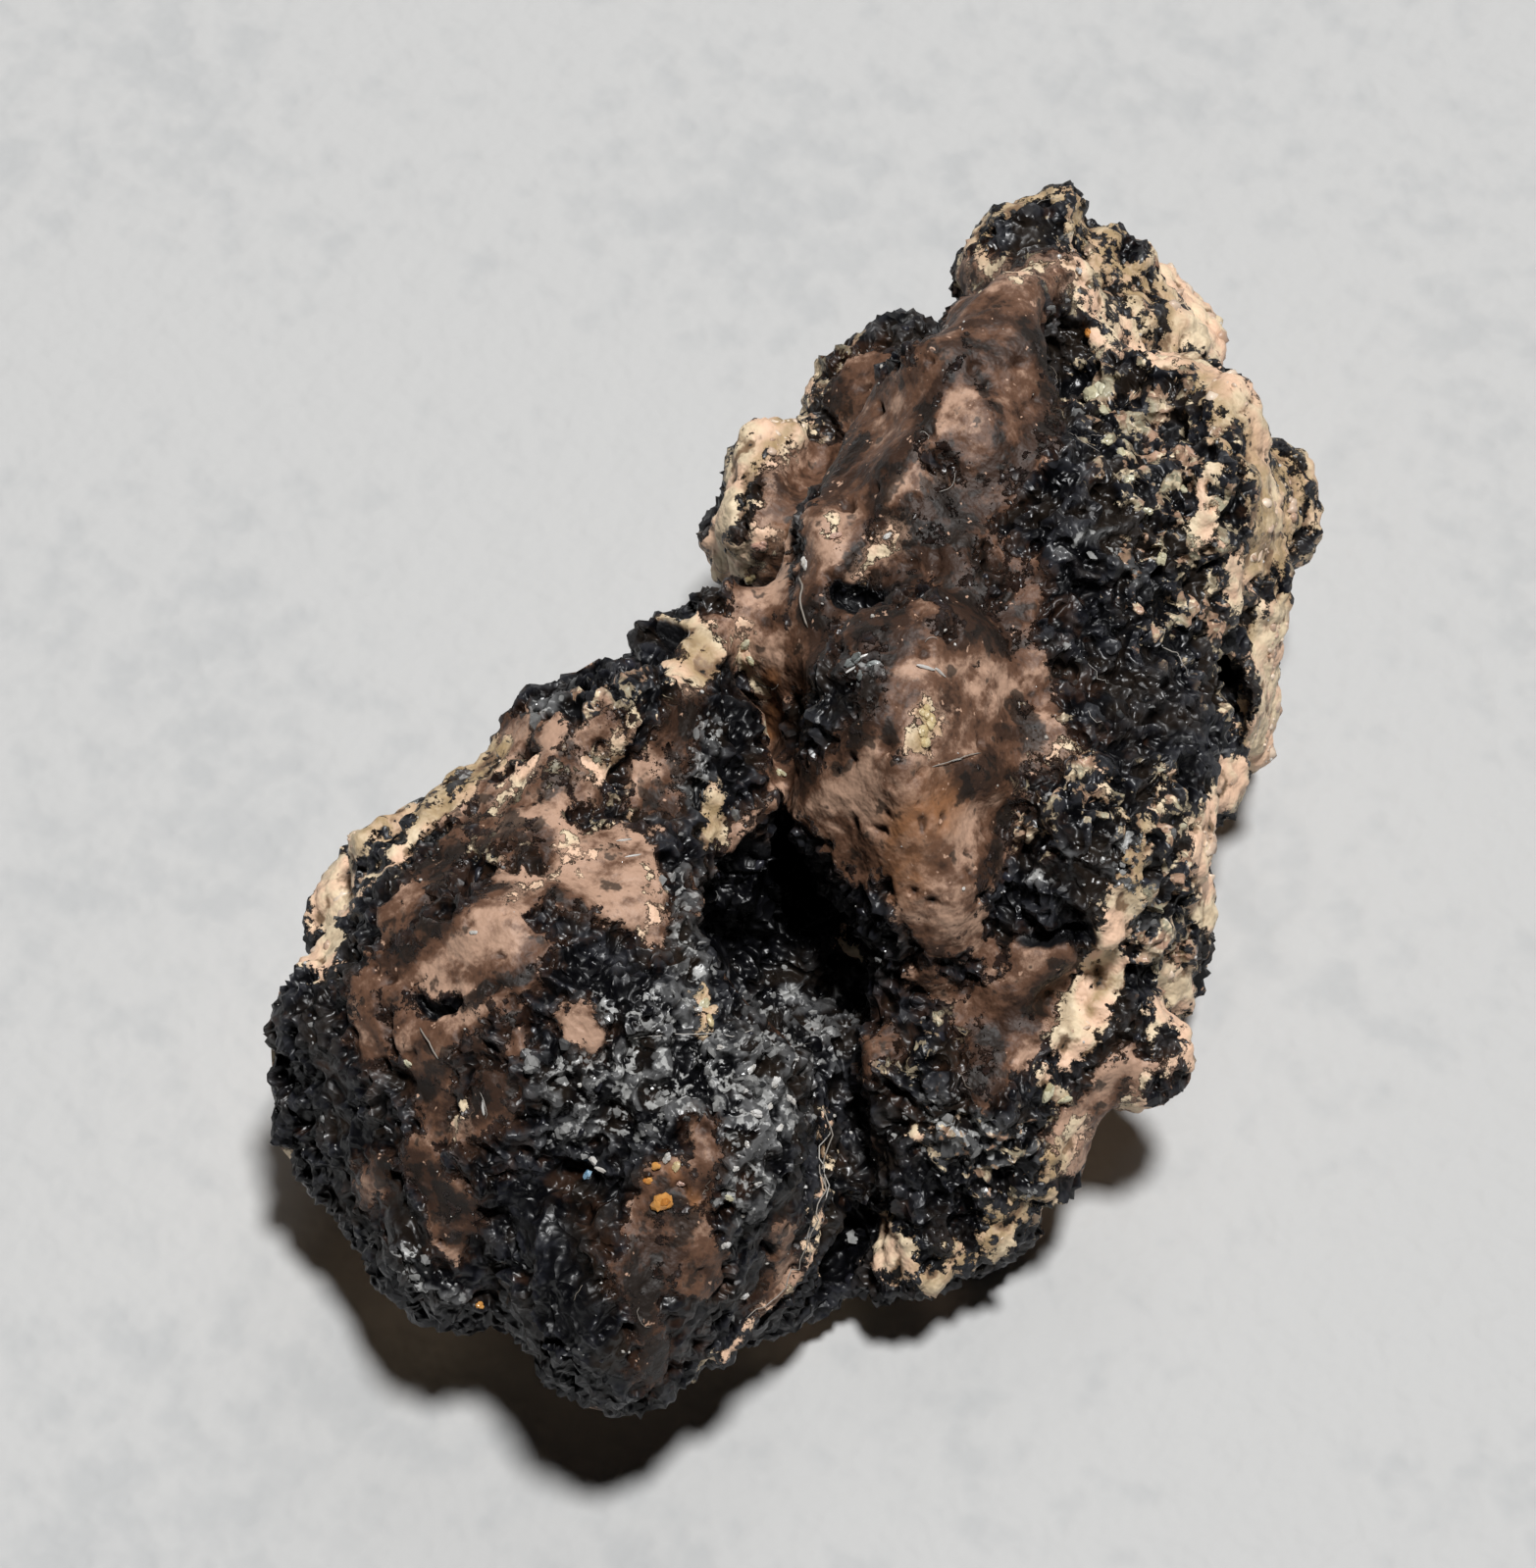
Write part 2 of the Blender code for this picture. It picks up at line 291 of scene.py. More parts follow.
STROKES = (
    *strokes(
        Coat.FLESH,
        ("head ridge", 1.15, (1022, 318), (1030, 380), (1022, 440)),
        ("head ridge left", 0.9, (985, 320), (965, 390), (945, 440)),
        ("head ridge foot", 0.6, (1045, 450), (1010, 485)),
        ("left lobe", 0.95, (882, 395), (885, 440), (872, 480)),
        ("between lobe and ridge", 1.2, (930, 420), (905, 480), (870, 540)),
        ("under the ridge", 1.1, (990, 480), (950, 530), (930, 560)),
        ("left lobe tail", 0.85, (840, 480), (805, 530), (775, 570)),
        ("mottled slope", 1.2, (970, 560), (990, 610), (960, 650)),
        ("mottled slope edge", 0.5, (1040, 590), (1030, 640)),
        ("under the brow", 0.8, (900, 645), (870, 650), (850, 640)),
        ("neck", 0.7, (800, 570), (780, 610), (760, 650)),
        ("neck right", 0.6, (835, 570), (825, 640), (815, 690)),
        ("neck left", 0.35, (735, 640), (715, 660)),
        ("column by the slit", 0.45, (785, 650), (790, 700), (788, 750), (795, 800)),
        ("nose top", 1.4, (940, 690), (970, 740)),
        ("nose top right", 0.95, (1030, 700), (1050, 750)),
        ("nose", 1.6, (900, 795), (940, 840)),
        ("nose left", 0.85, (822, 800), (860, 830), (880, 860)),
        ("nose right", 1.0, (1000, 800), (985, 870)),
        ("nose point", 0.85, (945, 900), (962, 940)),
        ("nose tongue", 0.35, (985, 930), (1000, 965)),
        ("face under the shoulder", 0.8, (1065, 985), (1040, 1030), (1015, 1065)),
        ("face left", 0.4, (1000, 1020), (980, 1040)),
        ("face foot", 0.35, (1010, 1080), (1000, 1110)),
        ("foot top tan", 0.6, (560, 790), (520, 820), (500, 840)),
        ("foot tan right", 0.5, (668, 785), (662, 825)),
        ("foot tan wedge", 0.3, (705, 700), (690, 745), (680, 790)),
        ("foot tan outer", 0.4, (530, 740), (500, 780), (455, 820)),
        ("foot tan lower", 0.35, (470, 860), (430, 900), (400, 945)),
        ("foot tan upper", 0.4, (620, 740), (600, 770), (560, 750)),
        ("foot tan middle", 0.3, (600, 800), (560, 830), (520, 845)),
        ("foot upper", 0.95, (560, 880), (610, 900), (640, 900)),
        ("foot upper right", 0.6, (655, 870), (662, 930), (655, 950)),
        ("foot streak", 0.35, (650, 850), (590, 870), (520, 900)),
        ("foot middle", 1.15, (540, 930), (500, 970), (470, 1000)),
        ("foot middle left", 1.0, (440, 980), (430, 1050)),
        ("foot left finger", 0.4, (400, 980), (375, 1010)),
        ("foot edge patch", 0.45, (374, 1030), (380, 1060)),
        ("foot drip", 0.6, (430, 1060), (440, 1100), (450, 1135)),
        ("foot drip right", 0.65, (490, 1030), (515, 1050)),
        ("foot spot", 0.4, (585, 1040), (605, 1058)),
        ("foot lower mottle", 0.5, (500, 1110), (480, 1150)),
        ("foot lower streak", 0.45, (420, 1170), (440, 1200), (470, 1240)),
        ("foot lower left", 0.3, (385, 1190), (370, 1225)),
        ("foot lower curl", 0.3, (450, 1240), (460, 1275)),
        ("strip of the tip", 0.7, (690, 1215), (670, 1260), (660, 1300)),
        ("strip right", 0.6, (705, 1250), (715, 1300)),
        ("strip foot", 0.32, (660, 1320), (662, 1360), (668, 1400)),
        ("hollow flesh", 0.35, (905, 1060), (880, 1085)),
        ("hollow flesh right", 0.3, (940, 990), (965, 1010)),
        ("tongue join", 0.3, (1000, 960), (1015, 985)),
        ("red spot of the tip", 0.32, (716, 1150), (720, 1185)),
        ("tip right", 0.3, (800, 1255), (795, 1300), (775, 1330)),
        ("inside the hole", 0.22, (758, 862), (782, 866)),
    ),
    *strokes(
        Coat.LIGHT,
        # The ridge, ridge cream, cream streak and white corner strokes and nose top light are painted
        # highlights.
        ("ridge light", 0.26, (966, 405), (957, 430), (949, 450)),
        ("ridge cream light", 0.25, (936, 455), (922, 482), (903, 520)),
        ("cream streak light", 0.32, (915, 540), (890, 565), (877, 592)),
        ("white corner light", 0.3, (850, 525), (848, 558)),
        ("granular light", 0.5, (1030, 720), (1052, 770), (1030, 815)),
        ("neck light", 0.7, (810, 540), (780, 600), (760, 640)),
        ("nose top light", 0.6, (930, 680), (1000, 690), (1060, 730)),
        ("nose light", 1.8, (880, 810), (930, 830), (955, 880)),
        ("tan slope light", 1.6, (480, 840), (560, 780), (640, 770)),
        ("nose tip light", 0.7, (960, 900), (975, 945)),
        ("foot upper light", 1.7, (540, 860), (600, 900), (650, 880)),
        ("foot tan light", 0.9, (510, 820), (570, 790), (670, 800)),
        ("foot middle light", 1.1, (440, 990), (500, 960), (470, 1030)),
        ("foot spot light", 0.4, (590, 1050), (605, 1060)),
    ),
    *strokes(
        Coat.DEEP,
        ("ridge pits", 0.6, (945, 465), (975, 485), (960, 515)),
        ("ridge streak", 0.35, (985, 350), (955, 400), (930, 450)),
        ("lobe valley", 0.45, (940, 430), (900, 510), (860, 590)),
        ("slope mottle", 1.6, (950, 530), (1000, 570), (1000, 630)),
        ("slope left mottle", 0.9, (920, 600), (880, 650)),
        ("neck mottle", 0.5, (835, 610), (830, 670)),
        ("nose left shade", 0.9, (890, 700), (850, 760), (830, 780)),
        ("nose streak", 0.5, (1010, 770), (980, 800)),
        ("nose spot", 0.4, (905, 735), (915, 770)),
        ("nose edge shade", 0.4, (1040, 790), (1020, 850), (1000, 900)),
        ("foot mottle", 0.9, (470, 1130), (520, 1100)),
        ("tan mottle", 0.8, (640, 740), (580, 780), (500, 840), (440, 880)),
        ("foot left mottle", 0.9, (490, 870), (450, 930), (410, 970)),
        ("foot streak mottle", 0.5, (520, 850), (560, 870)),
        ("foot drip mottle", 0.5, (520, 1040), (470, 1075), (430, 1110)),
        ("ridge foot mottle", 0.7, (1040, 470), (990, 500)),
        ("band mottle", 0.6, (1000, 285), (1080, 280)),
        ("slope mottle of the peak", 0.9, (1105, 300), (1140, 330), (1180, 330)),
        ("slope upper mottle", 0.5, (1095, 232), (1135, 262), (1165, 292)),
        ("crest mottle", 1.0, (1215, 410), (1260, 470), (1275, 540)),
        ("crest edge mottle", 1.1, (1290, 420), (1318, 490), (1322, 560)),
        ("ridge shade", 0.5, (1050, 330), (1068, 400), (1066, 450)),
        ("ridge crown shade", 0.3, (990, 380), (1015, 420), (1020, 450)),
        ("granular mottle", 0.7, (1040, 725), (1062, 775), (1115, 770), (1145, 830)),
        ("lobe shade", 0.7, (850, 400), (870, 450), (842, 490)),
        ("wedge mottle", 0.55, (700, 700), (682, 760), (665, 820)),
        ("foot upper mottle", 0.2, (500, 905), (560, 905), (600, 930)),
        ("foot middle mottle", 0.25, (540, 985), (500, 1010), (470, 1030)),
        ("salmon mottle", 0.4, (1150, 1110), (1110, 1150)),
        ("face upper mottle", 0.5, (1080, 985), (1050, 1040)),
        ("foot rim mottle", 0.5, (505, 770), (440, 815), (390, 850)),
        ("head rim mottle", 0.3, (810, 430), (765, 480), (740, 560)),
        ("heel rim mottle", 0.6, (1075, 1195), (1010, 1260), (940, 1295)),
        ("nose top mottle", 0.5, (860, 690), (900, 665)),
        ("column mottle", 0.35, (788, 700), (800, 780)),
        ("foot lower shade", 0.8, (400, 1180), (470, 1250)),
        ("face mottle", 0.6, (1000, 1100), (1010, 1060)),
        ("strip mottle", 0.8, (690, 1240), (650, 1300), (665, 1390)),
    ),
    *strokes(
        Coat.WARM,
        ("nose glow", 1.0, (955, 815), (925, 850), (925, 890)),
        ("column glow", 0.3, (790, 690), (785, 750)),
        ("neck glow", 0.35, (770, 580), (800, 540)),
        ("tip glow", 0.25, (690, 1200), (700, 1225)),
    ),
    *strokes(
        Coat.CRUST,
        ("ridge dark patch", 0.2, (945, 468), (968, 480)),
        ("slope dark patch", 0.3, (1000, 560), (1020, 600)),
        ("slope dark spots", 0.25, (940, 600), (970, 640)),
        ("slots beside the ridge", 0.35, (915, 330), (910, 365)),
        ("nose dark patch", 0.65, (850, 710), (825, 745)),
        ("foot black bay", 0.7, (595, 975), (640, 985)),
        ("foot black bay right", 0.55, (695, 870), (700, 920)),
        ("foot lower bay", 0.4, (548, 1040), (560, 1060)),
        ("foot dark line", 0.12, (395, 1030), (398, 1075)),
        ("foot hole black", 0.24, (430, 1020), (446, 1027), (454, 1022)),
        ("foot island", 0.3, (505, 1045), (512, 1060)),
        ("foot lower island", 0.35, (560, 935), (600, 945)),
        ("foot dark slot", 0.25, (505, 875), (548, 880)),
        ("foot dark slot lower", 0.15, (500, 1082), (570, 1078)),
        ("tan break", 0.25, (590, 842), (640, 835), (690, 845)),
        ("tan break left", 0.3, (610, 770), (625, 810)),
        ("drip break", 0.3, (470, 1080), (465, 1130)),
        ("strip break", 0.25, (725, 1235), (735, 1260)),
        ("middle dark pits", 0.25, (862, 640), (855, 665)),
        ("glass smear", 0.2, (866, 680), (884, 674), (896, 680)),
    ),
    *strokes(
        Coat.PALE,
        ("peak left rim", 0.28, (1008, 250), (1018, 222), (1040, 205), (1062, 204)),
        ("peak left edge", 0.17, (984, 292), (978, 268), (990, 242), (1004, 222)),
        ("peak right rim", 0.28, (1072, 208), (1100, 222), (1128, 240)),
    ),
    *strokes(
        Coat.FLESH,
        ("band below the peak", 0.55, (995, 285), (1040, 275), (1085, 285)),
    ),
    *strokes(
        Coat.PALE,
        ("band cream", 0.2, (1008, 268), (1035, 280), (1062, 274)),
        ("band cream right", 0.18, (1082, 268), (1105, 276)),
        ("slope right of the peak", 0.28, (1120, 262), (1150, 290), (1172, 318)),
        ("slope cream", 0.35, (1100, 300), (1130, 322), (1160, 350)),
        ("slope right lower", 0.5, (1165, 285), (1190, 320), (1205, 360)),
        ("knobs inner", 0.45, (1195, 310), (1215, 340), (1242, 368)),
        ("slope below", 0.3, (1120, 345), (1165, 362)),
        ("top knobs", 1.0, (1200, 265), (1218, 305), (1248, 345)),
        ("right crest", 0.75, (1200, 370), (1245, 400), (1275, 450)),
        ("right crest edge", 0.75, (1290, 420), (1318, 480), (1322, 545), (1310, 580)),
        ("right crest lower", 0.7, (1285, 480), (1295, 540), (1270, 590)),
        ("right crest inner", 0.35, (1240, 480), (1230, 540)),
        ("right strip", 0.75, (1304, 605), (1298, 680), (1288, 760)),
        ("right strip lower", 0.75, (1250, 800), (1236, 860), (1250, 930)),
        ("left rim of the head", 0.62, (800, 430), (765, 470), (745, 520), (738, 565)),
        ("left rim streak", 0.22, (838, 365), (822, 420)),
        ("left rim by the neck", 0.35, (760, 570), (775, 555)),
        ("neck tan", 0.4, (665, 625), (700, 640), (725, 665), (690, 690)),
        ("slit lip", 0.22, (758, 645), (762, 668), (775, 700)),
        ("golden patch", 0.25, (943, 724), (950, 738), (940, 758)),
        ("cream streak", 0.13, (912, 542), (890, 565), (880, 588)),
        ("white corner", 0.09, (850, 530), (848, 552)),
        ("left rim of the foot", 0.7, (355, 860), (342, 905), (326, 965)),
        ("left rim upper", 0.42, (366, 868), (404, 840), (442, 817), (480, 790), (508, 768)),
        ("left rim corner", 0.5, (340, 870), (345, 900), (350, 925)),
        ("left rim inner", 0.18, (365, 920), (400, 880), (440, 840)),
        ("tan spot", 0.26, (727, 812), (732, 845)),
        ("tan spot left", 0.25, (600, 790), (625, 770)),
        ("bay spot", 0.2, (716, 1020), (720, 1050)),
        ("foot cream streak", 0.06, (518, 918), (560, 893), (604, 870)),
        ("foot cream streak above", 0.06, (572, 862), (612, 850), (640, 838)),
        ("tan cream streak", 0.07, (505, 828), (530, 798), (552, 768)),
        ("tan cream streak right", 0.07, (598, 800), (628, 762), (650, 735)),
        ("foot cream edge", 0.06, (655, 880), (668, 920), (660, 960)),
        ("drip cream", 0.05, (466, 1105), (470, 1130), (468, 1160)),
    ),
    *strokes(
        Coat.FLESH,
        ("web", 0.15, (792, 808), (745, 858), (705, 930)),
    ),
    *strokes(
        Coat.LIGHT,
        ("web light", 0.35, (792, 808), (745, 858), (705, 930)),
    ),
    *strokes(
        Coat.PALE,
        ("tan granular right", 0.05, (1070, 760), (1115, 770)),
        ("tan granular vein", 0.07, (1115, 790), (1145, 830), (1150, 880)),
        ("hollow vein", 0.15, (1190, 800), (1170, 850), (1160, 900)),
        ("pink streak", 0.42, (1140, 915), (1132, 960), (1125, 1000)),
        ("pink lump", 0.65, (1112, 1025), (1098, 1060)),
        ("knobby rim", 0.5, (1185, 990), (1210, 1010), (1190, 1040)),
        ("rim knob", 0.35, (1215, 1055), (1212, 1080)),
    ),
    *strokes(
        Coat.FLESH,
        ("salmon patch", 0.75, (1160, 1100), (1130, 1140), (1100, 1165)),
    ),
    *strokes(
        Coat.LIGHT,
        ("salmon light", 1.4, (1160, 1100), (1130, 1140), (1100, 1165)),
    ),
    *strokes(
        Coat.PALE,
        ("salmon lip", 0.2, (1185, 1085), (1160, 1130), (1120, 1160)),
        ("heel rim vein", 0.25, (1100, 1150), (1075, 1195), (1060, 1240)),
        ("heel rim patch", 0.4, (1035, 1235), (1010, 1270)),
        ("heel cream", 0.45, (900, 1258), (915, 1290)),
        ("heel cream right", 0.3, (970, 1285), (955, 1305)),
        ("heel crystals", 0.22, (1062, 1100), (1085, 1120)),
        ("heel green vein", 0.12, (925, 1158), (945, 1165), (958, 1175)),
        ("tip right rim", 0.11, (838, 1140), (845, 1180), (832, 1225), (822, 1280)),
        ("tip crest", 0.06, (822, 1280), (800, 1315), (760, 1350), (722, 1388), (680, 1428)),
        ("hole speck", 0.15, (862, 955), (872, 970)),
    ),
    *strokes(
        Coat.CRUST,
        ("peak black", 0.75, (1035, 240), (1060, 228)),
        ("crest hole", 0.25, (1222, 455), (1235, 465)),
        ("crest gap", 0.4, (1130, 375), (1190, 390), (1215, 430)),
        ("crest break", 0.3, (1260, 440), (1250, 500), (1262, 560)),
        ("crest break lower", 0.22, (1280, 590), (1262, 650), (1258, 720)),
        ("knob gap", 0.10, (1165, 270), (1180, 300), (1188, 330)),
        ("slope spot", 0.22, (1085, 310), (1082, 330)),
        ("lobe rim dark", 0.45, (835, 350), (885, 320), (950, 310)),
        # Black along the crest's right edge and its outline: painted shade.
        ("crest rim painted shade", 0.28, (1336, 548), (1318, 582), (1294, 602)),
        ("crest outline painted shade", 0.11, (1282, 390), (1318, 450), (1336, 505), (1330, 560)),
        ("left rim dark", 0.2, (772, 490), (752, 545)),
        # A thin black line in the foot's rim gap: painted shade.
        ("foot rim gap painted shade", 0.12, (385, 862), (362, 895), (352, 940)),
        ("rim break", 0.16, (395, 826), (420, 838), (432, 860)),
        ("rim break upper", 0.16, (455, 796), (470, 812)),
        ("lump gap", 0.25, (1150, 1040), (1130, 1075), (1110, 1085)),
        ("rim gap", 0.25, (1165, 960), (1160, 1010)),
        ("rim gap lower", 0.3, (1190, 1060), (1170, 1070)),
        ("black knob", 0.35, (1180, 1110), (1178, 1130)),
    ),
    *strokes(
        Coat.OCHRE,
        ("peak ochre", 0.8, (1010, 240), (1050, 200), (1130, 240)),
        ("slope ochre", 0.6, (1150, 270), (1180, 310), (1195, 345)),
        ("slope upper ochre", 0.9, (1105, 240), (1150, 280), (1180, 310)),
        ("crest ochre", 1.2, (1290, 430), (1318, 500), (1315, 580)),
        ("rim ochre", 0.8, (385, 850), (440, 815), (508, 768)),
        ("neck ochre", 0.6, (690, 650), (730, 690)),
        ("tan ochre", 0.5, (727, 820), (720, 1040)),
        ("golden ochre", 0.35, (940, 722), (953, 742), (940, 762)),
        ("strip ochre", 0.2, (1275, 640), (1268, 760)),
        ("right crest ochre", 1.0, (1215, 400), (1265, 460), (1290, 560)),
        ("lump ochre", 0.25, (1128, 1000), (1118, 1030)),
        ("head rim ochre", 0.3, (800, 430), (770, 480), (745, 560)),
        ("hollow ochre", 0.8, (1160, 840), (1150, 890)),
        ("heel ochre", 0.8, (1070, 1180), (1030, 1240), (950, 1290)),
    ),
    *strokes(
        Coat.SILVER,
        ("foot silver", 2.1, (600, 1110), (640, 1100), (740, 1100), (800, 1050)),
        ("foot silver right", 1.2, (770, 1150), (760, 1230)),
        ("foot bay silver", 1.2, (630, 1030), (690, 1025)),
        ("foot right silver", 0.8, (695, 900), (710, 990)),
        ("boss silver", 0.3, (1080, 560), (1130, 540), (1160, 590)),
        ("boss lower silver", 0.3, (1090, 870), (1060, 900)),
        ("foot left silver", 0.8, (420, 1290), (450, 1320)),
        ("peak silver", 0.6, (1040, 290), (1100, 292)),
        ("heel silver", 1.2, (960, 1150), (1030, 1180)),
        ("hollow silver", 0.9, (1150, 860), (1160, 930)),
        ("tan slope silver", 0.7, (420, 830), (480, 780), (560, 720)),
        ("cluster silver", 1.0, (760, 1090), (800, 1120), (770, 1170)),
        ("glass smear silver", 0.6, (866, 680), (884, 674), (896, 680)),
        ("slit silver", 0.8, (715, 740), (700, 800)),
    ),
    *strokes(
        Coat.SPECKLE,
        ("boss specks", 2.0, (1150, 400), (1190, 480), (1220, 540), (1200, 600)),
        ("crest specks", 1.2, (1240, 470), (1290, 560)),
        ("heel specks", 1.0, (960, 1150), (1020, 1190), (1070, 1130)),
        ("rim specks", 1.5, (1190, 830), (1180, 920), (1190, 1000)),
        ("hollow specks", 1.0, (1100, 800), (1160, 840)),
        ("tan granular specks", 1.2, (1050, 730), (1080, 780), (1050, 830)),
        ("neck specks", 1.3, (640, 710), (600, 760), (540, 790)),
        ("foot top specks", 1.0, (620, 800), (560, 840), (480, 860)),
        ("peak specks", 0.8, (1088, 236), (1120, 262), (1165, 300)),
        ("band specks", 0.8, (1000, 285), (1050, 282), (1100, 292)),
        ("lobe specks", 0.9, (850, 340), (835, 380), (830, 430)),
        ("boss lower specks", 0.9, (1180, 620), (1240, 640), (1250, 720)),
        ("channel specks", 0.7, (880, 1080), (930, 1090), (960, 1050)),
    ),
    *strokes(
        Coat.STAIN,
        ("foot stain", 1.6, (460, 860), (520, 1130), (450, 1200)),
        ("foot lower stain", 1.0, (430, 1200), (560, 1180), (600, 1260)),
        ("foot upper stain", 1.6, (640, 720), (560, 790), (480, 830)),
        ("boss stain", 1.4, (1050, 600), (1090, 700), (1080, 780)),
        ("channel stain", 1.6, (900, 1030), (960, 1060), (920, 1110)),
        ("tip stain", 1.3, (740, 1220), (720, 1330), (660, 1400)),
        ("lobe stain", 1.0, (880, 350), (850, 400)),
    ),
    *strokes(
        Coat.PIT_AND_SHADE,
        ("brow pit", 0.42, (868, 608), (898, 612)),
        ("neck pit", 0.3, (684, 642), (688, 650)),
        ("slit", 0.5, (748, 685), (755, 720), (762, 755)),
        ("hole", 1.1, (765, 895), (800, 890), (815, 925)),
        ("hole left", 0.8, (725, 945), (780, 970)),
        ("crest pit", 0.28, (1228, 458), (1234, 462)),
        ("strip hole", 0.14, (785, 1270), (790, 1280)),
        ("foot hole", 0.25, (430, 1020), (446, 1027), (454, 1022)),
        ("shoulder undercut", 0.3, (1050, 958), (1085, 950), (1110, 960)),
        ("heel gap", 0.6, (870, 1250), (855, 1290)),
    ),
    *strokes(
        Coat.GLAZE,
        ("tip glaze", 1.0, (540, 1230), (580, 1330), (640, 1400), (700, 1350)),
        ("lower left glaze", 0.7, (340, 1100), (370, 1200), (440, 1290)),
        ("lower foot glaze", 0.7, (470, 1270), (540, 1370)),
        ("tip right glaze", 0.7, (800, 1230), (760, 1330)),
        ("peak glaze", 0.8, (1040, 240), (1080, 240)),
        ("hollow glaze", 0.6, (1060, 880), (1110, 900)),
    ),
    *strokes(
        Coat.RAISE,
        ("web crest", 0.3, (792, 808), (745, 858), (705, 930)),
        ("tip crest raised", 0.18, (832, 1225), (815, 1290), (765, 1345), (705, 1405)),
    ),
)


class Surface:
    """The stone's skin as arrays in millimetres, with a field for each coat."""

    def __init__(self, points: np.ndarray, faces: np.ndarray) -> None:
        """Keeps the mesh and works out its normals.

        Args:
            points: Corners, one row each.
            faces: Triangles, as corner numbers.
        """
        self.points = points
        self.faces = faces
        self.normals = self.corner_normals()
        self.fields: dict[Coat, np.ndarray] = {}
        self.height = np.zeros(len(points))

    def corner_normals(self) -> np.ndarray:
        """The unit normal at each corner, from the faces around it."""
        a, b, c = (self.points[self.faces[:, n]] for n in range(3))
        flat = np.cross(b - a, c - a)
        total = np.zeros_like(self.points)
        for n in range(3):
            np.add.at(total, self.faces[:, n], flat)
        return total / np.maximum(np.linalg.norm(total, axis=1, keepdims=True), 1e-12)

    def tree(self) -> BVHTree:
        """A search tree over the faces."""
        return BVHTree.FromPolygons(self.points.tolist(), self.faces.tolist())

    def scatter(
        self, weight: np.ndarray, count: int, draw: np.random.Generator
    ) -> tuple[np.ndarray, np.ndarray]:
        """Picks places all over the skin.

        Args:
            weight: How likely a place is at each corner.
            count: How many places.
            draw: Where the chance comes from.

        Returns:
            The places and their normals.
        """
        a, b, c = (self.points[self.faces[:, n]] for n in range(3))
        area = np.linalg.norm(np.cross(b - a, c - a), axis=1) / 2
        chance = area * weight[self.faces].mean(axis=1)
        picked = draw.choice(len(self.faces), size=count, p=chance / chance.sum())
        u, v = draw.random((2, count, 1))
        u, v = np.where(u + v > 1, 1 - u, u), np.where(u + v > 1, 1 - v, v)
        places = a[picked] + u * (b - a)[picked] + v * (c - a)[picked]
        corner = self.faces[picked, draw.integers(0, 3, count)]
        return places, self.normals[corner]


def applied(thing: bpy.types.Object) -> bpy.types.Mesh:
    """Works out an object's modifiers and takes them off.

    Args:
        thing: The object.

    Returns:
        A new mesh with what the modifiers made.
    """
    graph = bpy.context.evaluated_depsgraph_get()
    made = bpy.data.meshes.new_from_object(thing.evaluated_get(graph))
    thing.modifiers.clear()
    return made


def triangle_count(mesh: bpy.types.Mesh) -> int:
    """How many triangles a mesh's faces make."""
    return sum(len(face.vertices) - 2 for face in mesh.polygons)


def corner_array(mesh: bpy.types.Mesh, name: str) -> np.ndarray:
    """One vector for each of a mesh's corners, such as its place or its normal."""
    values = np.empty(len(mesh.vertices) * 3)
    mesh.vertices.foreach_get(name, values)
    return values.reshape(-1, 3)


def mesh_object(name: str, points: np.ndarray, faces: np.ndarray, smooth: bool) -> bpy.types.Object:
    """Makes an object from arrays.

    Args:
        name: The object's name.
        points: Corners in millimetres.
        faces: Faces that all have the same number of corners.
        smooth: Whether faces are shaded smooth.

    Returns:
        The object, linked to the scene.
    """
    mesh = bpy.data.meshes.new(name)
    corners = faces.shape[1]
    mesh.vertices.add(len(points))
    mesh.vertices.foreach_set("co", (points * MM).astype(np.float32).ravel())
    mesh.loops.add(faces.size)
    mesh.loops.foreach_set("vertex_index", faces.astype(np.int32).ravel())
    mesh.polygons.add(len(faces))
    mesh.polygons.foreach_set("loop_start", np.arange(0, faces.size, corners, dtype=np.int32))
    mesh.polygons.foreach_set("use_smooth", np.full(len(faces), smooth))
    mesh.update(calc_edges=True)
    thing = bpy.data.objects.new(name, mesh)
    bpy.context.scene.collection.objects.link(thing)
    return thing


def keep_vectors(thing: bpy.types.Object, name: str, columns: Sequence[np.ndarray]) -> None:
    """Stores three numbers for each corner under one name, for the material to read."""
    data = thing.data.attributes.new(name, "FLOAT_VECTOR", "POINT").data
    data.foreach_set("vector", np.stack(columns, 1).astype(np.float32).ravel())


